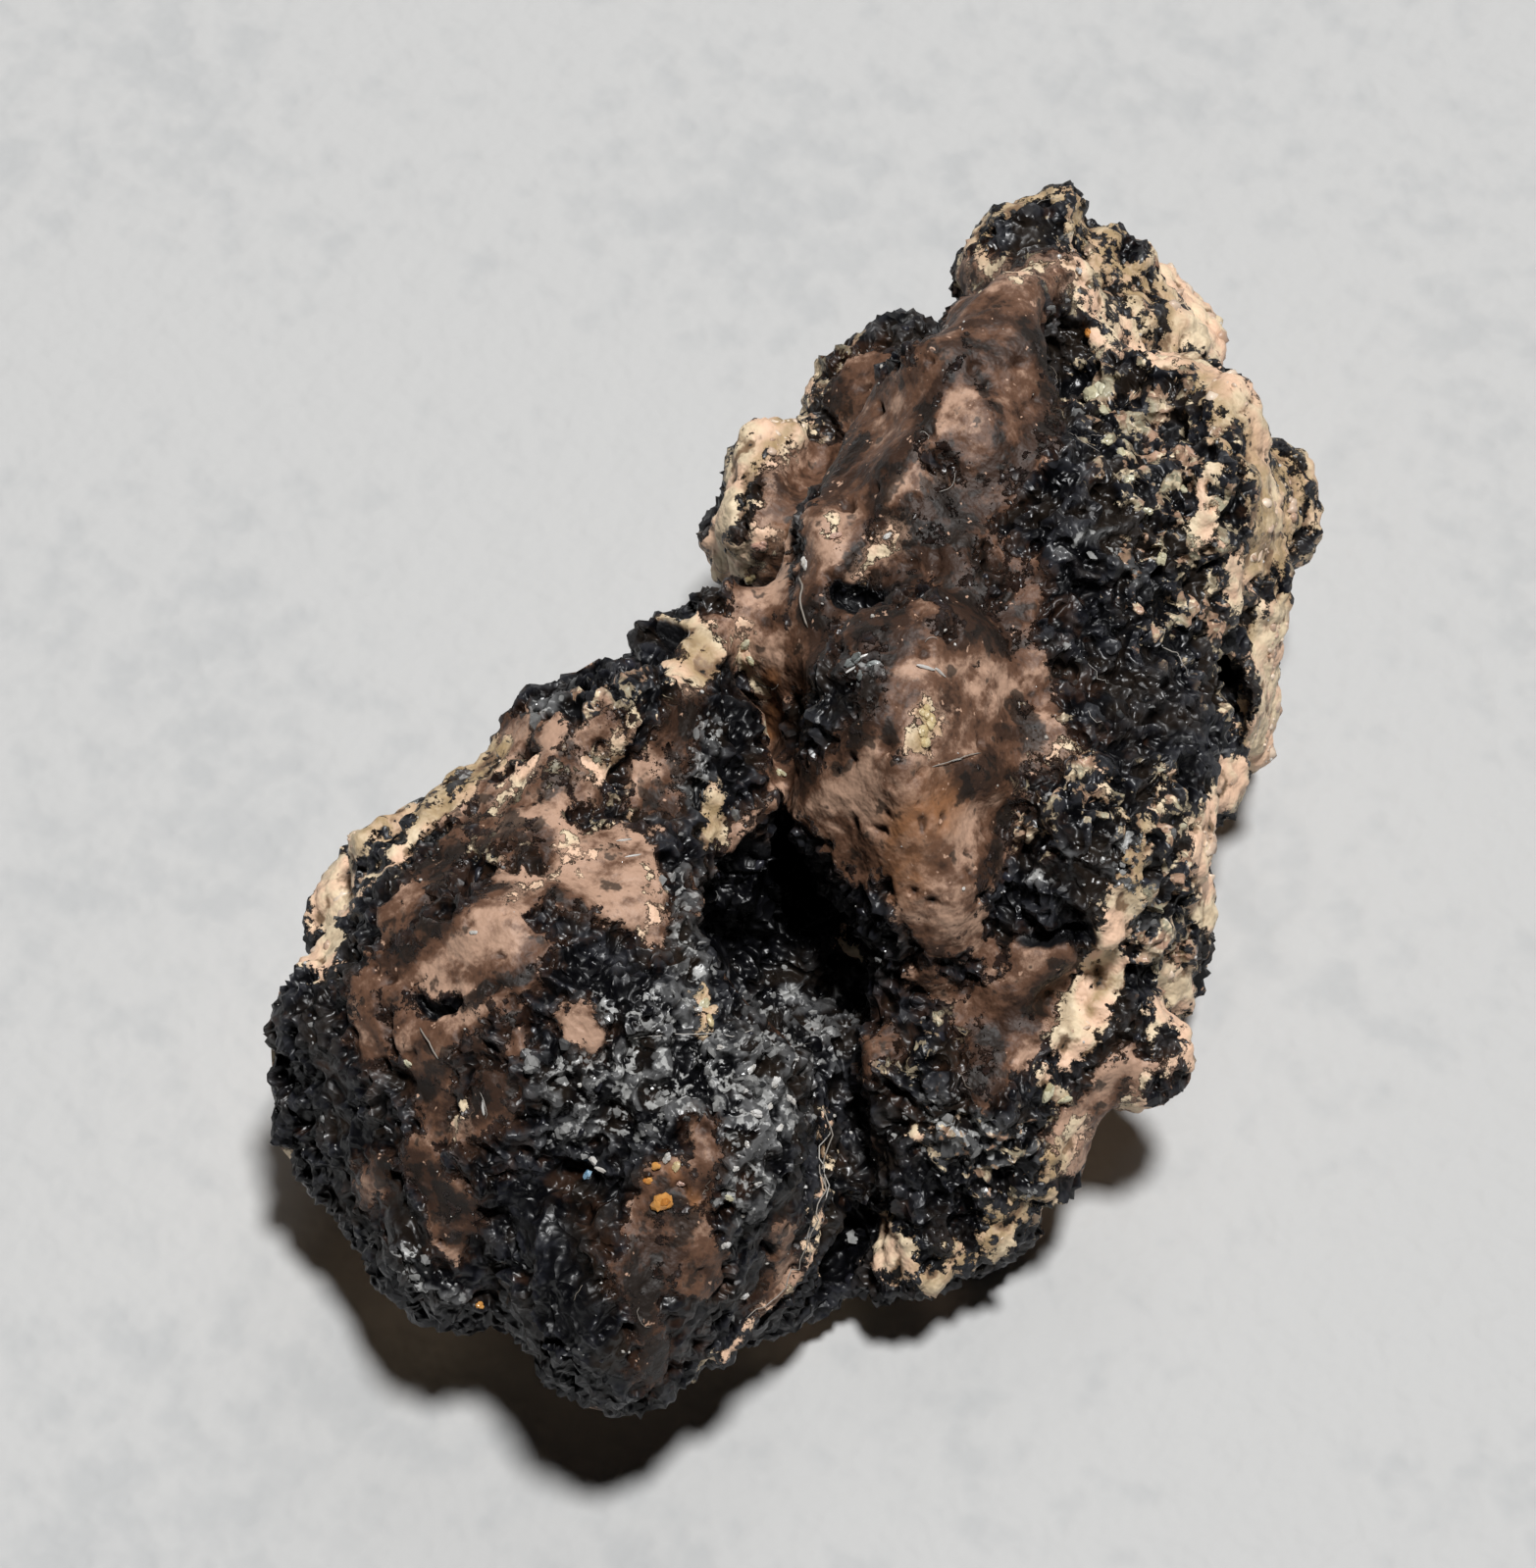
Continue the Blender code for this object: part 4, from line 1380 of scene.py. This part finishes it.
def random_turns(count: int, draw: np.random.Generator) -> np.ndarray:
    """Even random rotations, as matrices.

    Args:
        count: How many.
        draw: Where the chance comes from.

    Returns:
        One three by three matrix each.
    """
    q = draw.normal(size=(count, 4))
    w, x, y, z = (q / np.linalg.norm(q, axis=1, keepdims=True)).T
    rows = (
        (1 - 2 * (y * y + z * z), 2 * (x * y - z * w), 2 * (x * z + y * w)),
        (2 * (x * y + z * w), 1 - 2 * (x * x + z * z), 2 * (y * z - x * w)),
        (2 * (x * z - y * w), 2 * (y * z + x * w), 1 - 2 * (x * x + y * y)),
    )
    return np.array(rows).transpose(2, 0, 1)


@dataclass(frozen=True)
class Studio:
    """A plain pale floor and soft light from above."""

    floor_size: float = 1.2
    floor_dark: Colour = (0.470, 0.475, 0.475)
    floor_light: Colour = (0.525, 0.525, 0.52)
    key_power: float = 3.62
    key_spread: float = 9.0
    key_azimuth: float = 120.0
    key_elevation: float = 83.0
    back_power: float = 0.32
    back_spread: float = 30.0
    back_azimuth: float = 195.0
    back_elevation: float = 48.0
    fill: float = 0.004
    fill_colour: Colour = (0.95, 0.97, 1.0)

    def sun(self, name: str, power: float, spread: float, azimuth: float, elevation: float) -> None:
        """Adds a far, even light.

        Args:
            name: The light's name.
            power: Its strength.
            spread: How wide it looks from the stone, in degrees.
            azimuth: Where it stands, counted as the camera's azimuth is.
            elevation: How high it stands, in degrees.
        """
        lamp = bpy.data.lights.new(name, "SUN")
        lamp.energy = power
        lamp.angle = math.radians(spread)
        thing = bpy.data.objects.new(name, lamp)
        thing.rotation_euler = Vector(direction(azimuth, elevation)).to_track_quat("Z", "Y").to_euler()
        bpy.context.scene.collection.objects.link(thing)

    def build(self) -> None:
        """Adds the floor, the lights and the look of the picture."""
        bpy.ops.mesh.primitive_plane_add(size=self.floor_size)
        floor = bpy.context.object
        floor.name = "floor"
        s = Sketch("pale floor")
        broad = s.math("MULTIPLY", s.noise(0.09, 3.0), 0.8)
        mottle = s.step(s.math("MULTIPLY_ADD", s.noise(0.9, 2.0), 0.6, broad), 0.50, 0.72)
        s.put(Base_Color=s.mix(mottle, self.floor_dark, self.floor_light), Roughness=0.8)
        s.bump(s.noise(0.9, 2.0, 0.6), 0.15)
        floor.data.materials.append(s.material)
        self.sun("softbox", self.key_power, self.key_spread, self.key_azimuth, self.key_elevation)
        self.sun("back softbox", self.back_power, self.back_spread, self.back_azimuth, self.back_elevation)
        world = bpy.data.worlds.new("studio")
        world.use_nodes = True
        background = world.node_tree.nodes["Background"]
        background.inputs["Color"].default_value = (*self.fill_colour, 1.0)
        background.inputs["Strength"].default_value = self.fill
        scene = bpy.context.scene
        scene.world = world
        scene.view_settings.view_transform = "Standard"
        scene.view_settings.look = "None"


OXIDE = GrainFinish("oxide grains", (0.0021, 0.0021, 0.0031), (0.025, 0.025, 0.034), 0.34)
SILVER = GrainFinish("silvery grains", (0.030, 0.030, 0.031), (0.330, 0.328, 0.318), 0.24)
BONE = GrainFinish("pale inesite grains", (0.46, 0.30, 0.21), (0.80, 0.66, 0.52), 0.40)

CREAM = GrainFinish("cream crystals", (0.434, 0.385, 0.231), (0.630, 0.602, 0.448), 0.30)
WHITE = GrainFinish("white sand", (0.434, 0.406, 0.364), (0.665, 0.651, 0.630), 0.18)
PINK = GrainFinish("pink crystals", (0.434, 0.252, 0.189), (0.616, 0.434, 0.350), 0.30)
AMBER = GrainFinish("amber sand", (0.434, 0.154, 0.028), (0.665, 0.336, 0.098), 0.14)
BLUE = GrainFinish("blue sand", (0.112, 0.231, 0.350), (0.280, 0.434, 0.560), 0.20)
GLASSY = GrainFinish("glassy sand", (0.11, 0.12, 0.115), (0.40, 0.42, 0.41), 0.16)
GOLD = GrainFinish("golden crystals", (0.50, 0.37, 0.18), (0.64, 0.53, 0.31), 0.40)
HAIR = GrainFinish("lint", (0.210, 0.175, 0.140), (0.560, 0.539, 0.504), 0.45, 0.002)


@dataclass(frozen=True)
class Crust:
    """The grains on the skin: black oxide, silvery grains, loose white sand that also serves as painted
    glints, and pale inesite.

    The strays are the small chance of a grain where its own kind doesn't grow.
    """

    oxide: GrainCoat = GrainCoat(
        "oxide_grains", "oxide_grains", OXIDE, 450,
        sizes=(0.12, 0.36), sink=-0.9, seed=21, rounds=2, spread=(0.45, 1.45),
    )
    silver: GrainCoat = GrainCoat(
        "silvery_grains", "oxide_grains", SILVER, 1100,
        sizes=(0.06, 0.34), sink=-0.25, seed=26, spread=(0.35, 1.35),
    )
    # White sand over the whole stone, which also serves as painted glints.
    sand: GrainCoat = GrainCoat("clinging_sand", "sand", WHITE, 230, sizes=(0.03, 0.11), sink=0.1, seed=36)
    pale: GrainCoat = GrainCoat(
        "pale_inesite_grains", "pale_inesite", BONE, 620,
        sizes=(0.10, 0.34), sink=-0.6, seed=31, rounds=2, spread=(0.35, 1.5),
    )
    oxide_stray: float = 1e-5
    stray: float = 1e-6

    def build(self, skin: Surface) -> None:
        """Grows every kind of grain.

        Args:
            skin: The skin that they sit in.
        """
        flesh = ease(skin.fields[Coat.FLESH], -0.15, 0.05)
        pale = ease(skin.fields[Coat.PALE], -0.15, 0.1)
        rim = ease(skin.fields[Coat.PALE], 0.25, 0.50)
        silver = ease(skin.fields[Coat.SILVER], 0.0, 0.7)
        crowd = ease(Grain(5).layers(skin.points, 0.9, 3), -0.05, 0.4)
        clump = ease(Grain(6).layers(skin.points, 1.7, 2), 0.05, 0.35)
        top = ease(skin.normals[:, 2], -0.9, 0.2) * 0.85 + 0.15
        black = np.clip(1.0 - flesh - pale, 0.0, 1.0) * (0.1 + crowd) * top
        self.oxide.build(skin, black + self.oxide_stray)
        self.silver.build(skin, black * (silver + 0.03) * (clump + 0.04) + self.stray)
        self.sand.build(skin, top * (0.2 + crowd))
        self.pale.build(skin, rim * (0.2 + crowd) * top + self.stray)


class Find(NamedTuple):
    """One grain that the photograph shows, with its length in millimetres and its turn in the picture."""

    name: str
    finish: GrainFinish
    pixel: Pixel
    length: float
    thin: float = 0.8
    turn: float = 0.0


FINDS = (
    Find("largest cream crystal", CREAM, (1117, 402), 0.62, 0.9, 60),
    Find("cream crystal beside it", CREAM, (1124, 420), 0.40, 0.8, 10),
    Find("cream row first", CREAM, (1128, 450), 0.28, 0.8, 40),
    Find("cream row second", CREAM, (1144, 461), 0.30, 0.7, 90),
    Find("cream row third", CREAM, (1150, 490), 0.28, 0.8, 30),
    Find("cream row fourth", CREAM, (1170, 521), 0.24, 0.8, 0),
    Find("cream row fifth", CREAM, (1184, 570), 0.32, 0.7, 80),
    Find("cream crystal of the crest", CREAM, (1205, 500), 0.26, 0.8, 20),
    Find("amber spot of the slope", AMBER, (1110, 341), 0.30, 0.8, 0),
    Find("white spot of the slope", WHITE, (1098, 276), 0.28, 0.7, 30),
    Find("white spot above the slope", WHITE, (1080, 262), 0.16, 0.8, 30),
    Find("amber grain of the tip", AMBER, (676, 1224), 0.56, 0.85, 20),
    Find("amber cluster first", AMBER, (668, 1188), 0.28, 0.8, 0),
    Find("amber cluster second", WHITE, (680, 1180), 0.26, 0.7, 50),
    Find("amber cluster third", GOLD, (690, 1190), 0.24, 0.8, 90),
    Find("amber cluster fourth", AMBER, (660, 1205), 0.20, 0.8, 0),
    Find("amber cluster fifth", PINK, (694, 1206), 0.22, 0.8, 20),
    Find("blue grain", BLUE, (601, 1198), 0.26, 0.8, 30),
    Find("white rod", WHITE, (606, 1183), 0.50, 0.3, -15),
    Find("white rod below", WHITE, (612, 1193), 0.30, 0.3, -25),
    Find("amber grain of the foot", AMBER, (488, 1331), 0.20, 0.9, 0),
    Find("golden patch top", GOLD, (943, 727), 0.34, 0.8, 60),
    Find("golden patch middle", GOLD, (949, 737), 0.36, 0.7, 100),
    Find("golden patch left", GOLD, (940, 745), 0.38, 0.7, 80),
    Find("golden patch low", GOLD, (942, 757), 0.32, 0.7, 30),
    Find("glassy grain", GLASSY, (872, 675), 0.40, 0.55, 25),
    Find("glassy grain right", GLASSY, (889, 679), 0.34, 0.5, -20),
    Find("glassy grain below", GLASSY, (877, 688), 0.24, 0.6, 60),
    Find("white line of the glass", WHITE, (880, 670), 0.34, 0.2, 12),
    Find("white line beside it", WHITE, (868, 683), 0.28, 0.2, 40),
    Find("white streak", WHITE, (944, 681), 0.42, 0.22, -8),
    Find("white streak below", WHITE, (958, 686), 0.34, 0.22, -20),
    Find("white seed", WHITE, (821, 575), 0.30, 0.6, 100),
    Find("cream blob", PINK, (775, 557), 0.34, 0.9, 0),
    Find("cream blob below", GOLD, (766, 590), 0.34, 0.7, 60),
    Find("slit crystal", CREAM, (760, 655), 0.34, 0.6, 80),
    Find("slit crystal below", CREAM, (766, 672), 0.26, 0.6, 120),
    Find("glint of the fin", WHITE, (905, 546), 0.22, 0.6, 40),
    Find("pink facet", PINK, (852, 548), 0.30, 0.7, 60),
    Find("bay crystal", CREAM, (719, 1022), 0.30, 0.8, 70),
    Find("bay crystal below", GOLD, (722, 1042), 0.30, 0.7, 100),
    Find("bay crystal beside", WHITE, (712, 1030), 0.18, 0.8, 0),
    Find("white speck of the tip", WHITE, (758, 1321), 0.26, 0.7, 20),
    Find("white speck of the silver", WHITE, (769, 1136), 0.30, 0.6, -10),
    Find("white speck beside it", WHITE, (783, 1128), 0.20, 0.7, 30),
    Find("white speck of the bay", WHITE, (592, 1106), 0.14, 0.8, 0),
    Find("cream speck of the drip", CREAM, (416, 1085), 0.22, 0.8, 0),
    Find("glint of the foot", WHITE, (483, 951), 0.16, 0.8, 0),
    Find("glint of the nose", WHITE, (909, 902), 0.12, 0.9, 0),
    Find("cream speck of the rim", CREAM, (743, 1221), 0.20, 0.8, 0),
    Find("white speck of the rim", WHITE, (740, 1269), 0.22, 0.7, 70),
    Find("white speck above the rim", WHITE, (757, 1240), 0.14, 0.7, 70),
    Find("pink flake", PINK, (786, 1370), 0.60, 0.35, 80),
    Find("silver field first", WHITE, (765, 1090), 0.30, 0.7, 20),
    Find("silver field second", WHITE, (790, 1103), 0.24, 0.7, 70),
    Find("silver field third", WHITE, (806, 1122), 0.26, 0.6, -30),
    Find("silver field fourth", WHITE, (760, 1112), 0.18, 0.8, 0),
    Find("silver field fifth", WHITE, (796, 1150), 0.22, 0.6, 40),
    Find("silver field sixth", WHITE, (762, 1166), 0.24, 0.7, -50),
    Find("silver field seventh", WHITE, (750, 1192), 0.18, 0.7, 10),
    Find("silver field eighth", WHITE, (812, 1080), 0.20, 0.7, 80),
    Find("silver field ninth", WHITE, (735, 1068), 0.18, 0.6, 0),
    Find("silver field tenth", WHITE, (773, 1206), 0.16, 0.7, 30),
    Find("rod of the drip", WHITE, (493, 1130), 0.40, 0.18, 85),
    Find("heel crystal", CREAM, (1070, 1112), 0.44, 0.6, 70),
    Find("heel crystal beside it", CREAM, (1084, 1120), 0.34, 0.5, 50),
    # White streaks on the foot's flesh: painted highlights.
    Find("glint streak of the foot", WHITE, (636, 857), 0.34, 0.14, 20),
    Find("glint streak below the foot", WHITE, (646, 873), 0.38, 0.14, 30),
    Find("scratch of the nose", WHITE, (975, 775), 0.34, 0.12, 12),
    Find("glint of the column", CREAM, (796, 790), 0.28, 0.5, 100),
)


@dataclass(frozen=True)
class Finds:
    """The separate grains and crystals that the photograph shows, one piece for each finish."""

    view: PhotographView
    finds: tuple[Find, ...] = FINDS
    thickness: float = 0.55
    stand: float = 0.35
    lumps: int = 6
    lump_sizes: tuple[float, float] = (0.45, 0.75)
    lump_reach: float = 0.55
    rod: float = 0.45
    seed: int = 41

    def setting(
        self, place: np.ndarray, up: np.ndarray, find: Find
    ) -> tuple[np.ndarray, np.ndarray, np.ndarray]:
        """How a grain sits.

        Args:
            place: Where it touches the skin.
            up: The skin's normal there.
            find: The grain.

        Returns:
            Its middle, its directions and its half-lengths.
        """
        turn = math.radians(find.turn)
        along = self.view.right * math.cos(turn) + self.view.up * math.sin(turn)
        along = along - up * (along @ up)
        along /= np.linalg.norm(along)
        half = find.length / 2
        halves = np.array((half, half * find.thin, half * min(self.thickness, find.thin)))
        middle = place + up * halves[2] * self.stand
        return middle, np.stack((along, np.cross(up, along), up), 1), halves

    def build(self, skin: Surface) -> None:
        """Sets every grain.

        Args:
            skin: The skin that they sit in.
        """
        tree = skin.tree()
        draw = np.random.default_rng(self.seed)
        for finish in dict.fromkeys(find.finish for find in self.finds):
            settings = []
            for find in (find for find in self.finds if find.finish is finish):
                place, normal = self.view.shown(tree, find.pixel)
                if place is None:
                    LOG.warning("%s misses the stone", find.name)
                    continue
                middle, turn, half = self.setting(np.array(place), np.array(normal), find)
                lumps = self.lumps if find.thin > self.rod else 1
                for number in range(lumps):
                    aside = draw.uniform(-self.lump_reach, self.lump_reach, 3) * (number > 0)
                    share = draw.uniform(*self.lump_sizes) if lumps > 1 else 1.0
                    settings.append((middle + turn @ (half * aside), turn, half * share))
            centres, frames, halves = (np.array(part) for part in zip(*settings))
            points, links, shade = grains(centres, frames, halves, 2, draw)
            thing = mesh_object(finish.name.replace(" ", "_"), points, links, False)
            dress(thing, shade, finish)


class Thread(NamedTuple):
    """One fibre that the photograph shows, with its radius and its lift off the skin in millimetres."""

    name: str
    radius: float
    lift: float
    path: tuple[Pixel, ...]


THREADS = (
    Thread("curl below the seed", 0.024, 0.10, ((815, 588), (823, 600), (819, 618), (824, 640))),
    Thread("fibre of the strip", 0.014, 0.14, ((1185, 660), (1200, 672), (1212, 690))),
    Thread("fibre of the foot", 0.018, 0.08, ((428, 1048), (440, 1062), (447, 1080))),
    Thread("fluff of the tip first", 0.016, 0.12, ((838, 1130), (846, 1160), (838, 1200), (832, 1235))),
    Thread("fluff of the tip second", 0.014, 0.16, ((846, 1150), (834, 1180), (842, 1225), (826, 1262))),
    Thread("fluff of the tip third", 0.014, 0.14, ((832, 1180), (838, 1215), (824, 1250), (822, 1290))),
    Thread("fluff of the tip fourth", 0.012, 0.18, ((826, 1250), (812, 1290), (784, 1322), (760, 1345))),
    Thread("line of the bay", 0.011, 0.02, ((604, 1064), (660, 1057), (721, 1055), (780, 1058), (833, 1062))),
    Thread("hair of the nose", 0.012, 0.08, ((950, 782), (975, 774), (1000, 768))),
)


@dataclass(frozen=True)
class Lint:
    """Fine fibres that cling to the stone, joined in one piece."""

    view: PhotographView
    threads: tuple[Thread, ...] = THREADS
    strays: int = 26
    stray_length: tuple[float, float] = (0.3, 0.9)
    stray_radius: tuple[float, float] = (0.005, 0.009)
    stray_lift: tuple[float, float] = (0.02, 0.16)
    stray_curl: float = 2.2
    stray_steps: int = 7
    end_share: float = 0.4
    rest_share: float = 0.6
    sides: int = 5
    steps: int = 14
    seed: int = 51

    def laid(self, tree: BVHTree, guide: np.ndarray, lift: float, radius: float) -> np.ndarray:
        """A line that follows the skin, its ends touching and its middle lifted.

        Args:
            tree: The skin's search tree.
            guide: The line's guide points, one row each.
            lift: How far its middle is lifted.
            radius: The fibre's radius.

        Returns:
            The line's points.
        """
        share = np.linspace(0.0, 1.0, self.steps)
        stops = np.linspace(0.0, 1.0, len(guide))
        smooth = np.stack([np.interp(share, stops, guide[:, axis]) for axis in range(3)], 1)
        for _ in range(3):
            smooth[1:-1] = (smooth[:-2] + 2 * smooth[1:-1] + smooth[2:]) / 4
        line = []
        for point, part in zip(smooth, share):
            place, normal, _, _ = tree.find_nearest(Vector(point))
            height = radius * self.rest_share + lift * math.sin(math.pi * part)
            line.append(np.array(place) + np.array(normal) * height)
        return np.array(line)

    def tube(self, line: np.ndarray, radius: float) -> tuple[np.ndarray, np.ndarray]:
        """A closed tube round a line, thinner at its ends.

        Args:
            line: The line's points.
            radius: The tube's radius.

        Returns:
            Its corners and its triangles.
        """
        along = np.gradient(line, axis=0)
        along /= np.linalg.norm(along, axis=1, keepdims=True)
        side = np.cross(along, (0.31, 0.27, 0.91))
        side /= np.linalg.norm(side, axis=1, keepdims=True)
        other = np.cross(along, side)
        angle = np.linspace(0.0, 2 * math.pi, self.sides, endpoint=False)
        ring = np.cos(angle)[None, :, None] * side[:, None] + np.sin(angle)[None, :, None] * other[:, None]
        taper = np.full(len(line), radius)
        taper[[0, -1]] *= self.end_share
        points = (line[:, None] + ring * taper[:, None, None]).reshape(-1, 3)
        points = np.vstack((points, line[0], line[-1]))
        faces = []
        n, last = self.sides, (len(line) - 1) * self.sides
        for i in range(self.sides):
            j = (i + 1) % self.sides
            faces += [(len(points) - 2, j, i), (len(points) - 1, last + i, last + j)]
            for row in range(len(line) - 1):
                a, b = row * n + i, row * n + j
                faces += [(a, b, b + n), (a, b + n, a + n)]
        return points, np.array(faces)

    def guides(
        self, skin: Surface, tree: BVHTree, draw: np.random.Generator
    ) -> list[tuple[np.ndarray, float, float]]:
        """Where fibres lie.

        Args:
            skin: The skin that they cling to.
            tree: The skin's search tree.
            draw: Where the chance comes from.

        Returns:
            Each fibre's guide points, lift and radius.
        """
        found = []
        for thread in self.threads:
            hits = [self.view.shown(tree, pixel)[0] for pixel in thread.path]
            hits = [np.array(hit) for hit in hits if hit is not None]
            if len(hits) > 1:
                found.append((np.array(hits), thread.lift, thread.radius))
        weight = ease(skin.normals[:, 2], -0.3, 0.5) + 0.02
        places, normals = skin.scatter(weight, self.strays, draw)
        for place, normal in zip(places, normals):
            along = np.cross(normal, draw.normal(size=3))
            along /= np.linalg.norm(along)
            across = np.cross(normal, along)
            length = draw.uniform(*self.stray_length)
            curl = draw.uniform(-self.stray_curl, self.stray_curl)
            turns = np.linspace(0.0, curl, self.stray_steps)
            steps = np.cos(turns)[:, None] * along + np.sin(turns)[:, None] * across
            guide = place + np.vstack((np.zeros(3), np.cumsum(steps, axis=0))) * length / self.stray_steps
            found.append((guide, draw.uniform(*self.stray_lift), draw.uniform(*self.stray_radius)))
        return found

    def build(self, skin: Surface) -> None:
        """Lays every fibre.

        Args:
            skin: The skin that they cling to.
        """
        tree = skin.tree()
        draw = np.random.default_rng(self.seed)
        points, faces, shade, total = [], [], [], 0
        for guide, lift, radius in self.guides(skin, tree, draw):
            corners, links = self.tube(self.laid(tree, guide, lift, radius), radius)
            points.append(corners)
            faces.append(links + total)
            shade.append(np.full(len(corners), draw.random()))
            total += len(corners)
        thing = mesh_object("lint", np.vstack(points), np.vstack(faces), True)
        dress(thing, np.concatenate(shade), HAIR)


def main() -> None:
    """Builds the camera, the studio and the stone."""
    logging.basicConfig(level=logging.INFO, format="%(name)s: %(message)s")
    view = PhotographView()
    view.build()
    Studio().build()
    skin = StoneSkin(view).build()
    Crust().build(skin)
    Finds(view).build(skin)
    Lint(view).build(skin)


if __name__ == "__main__":
    main()
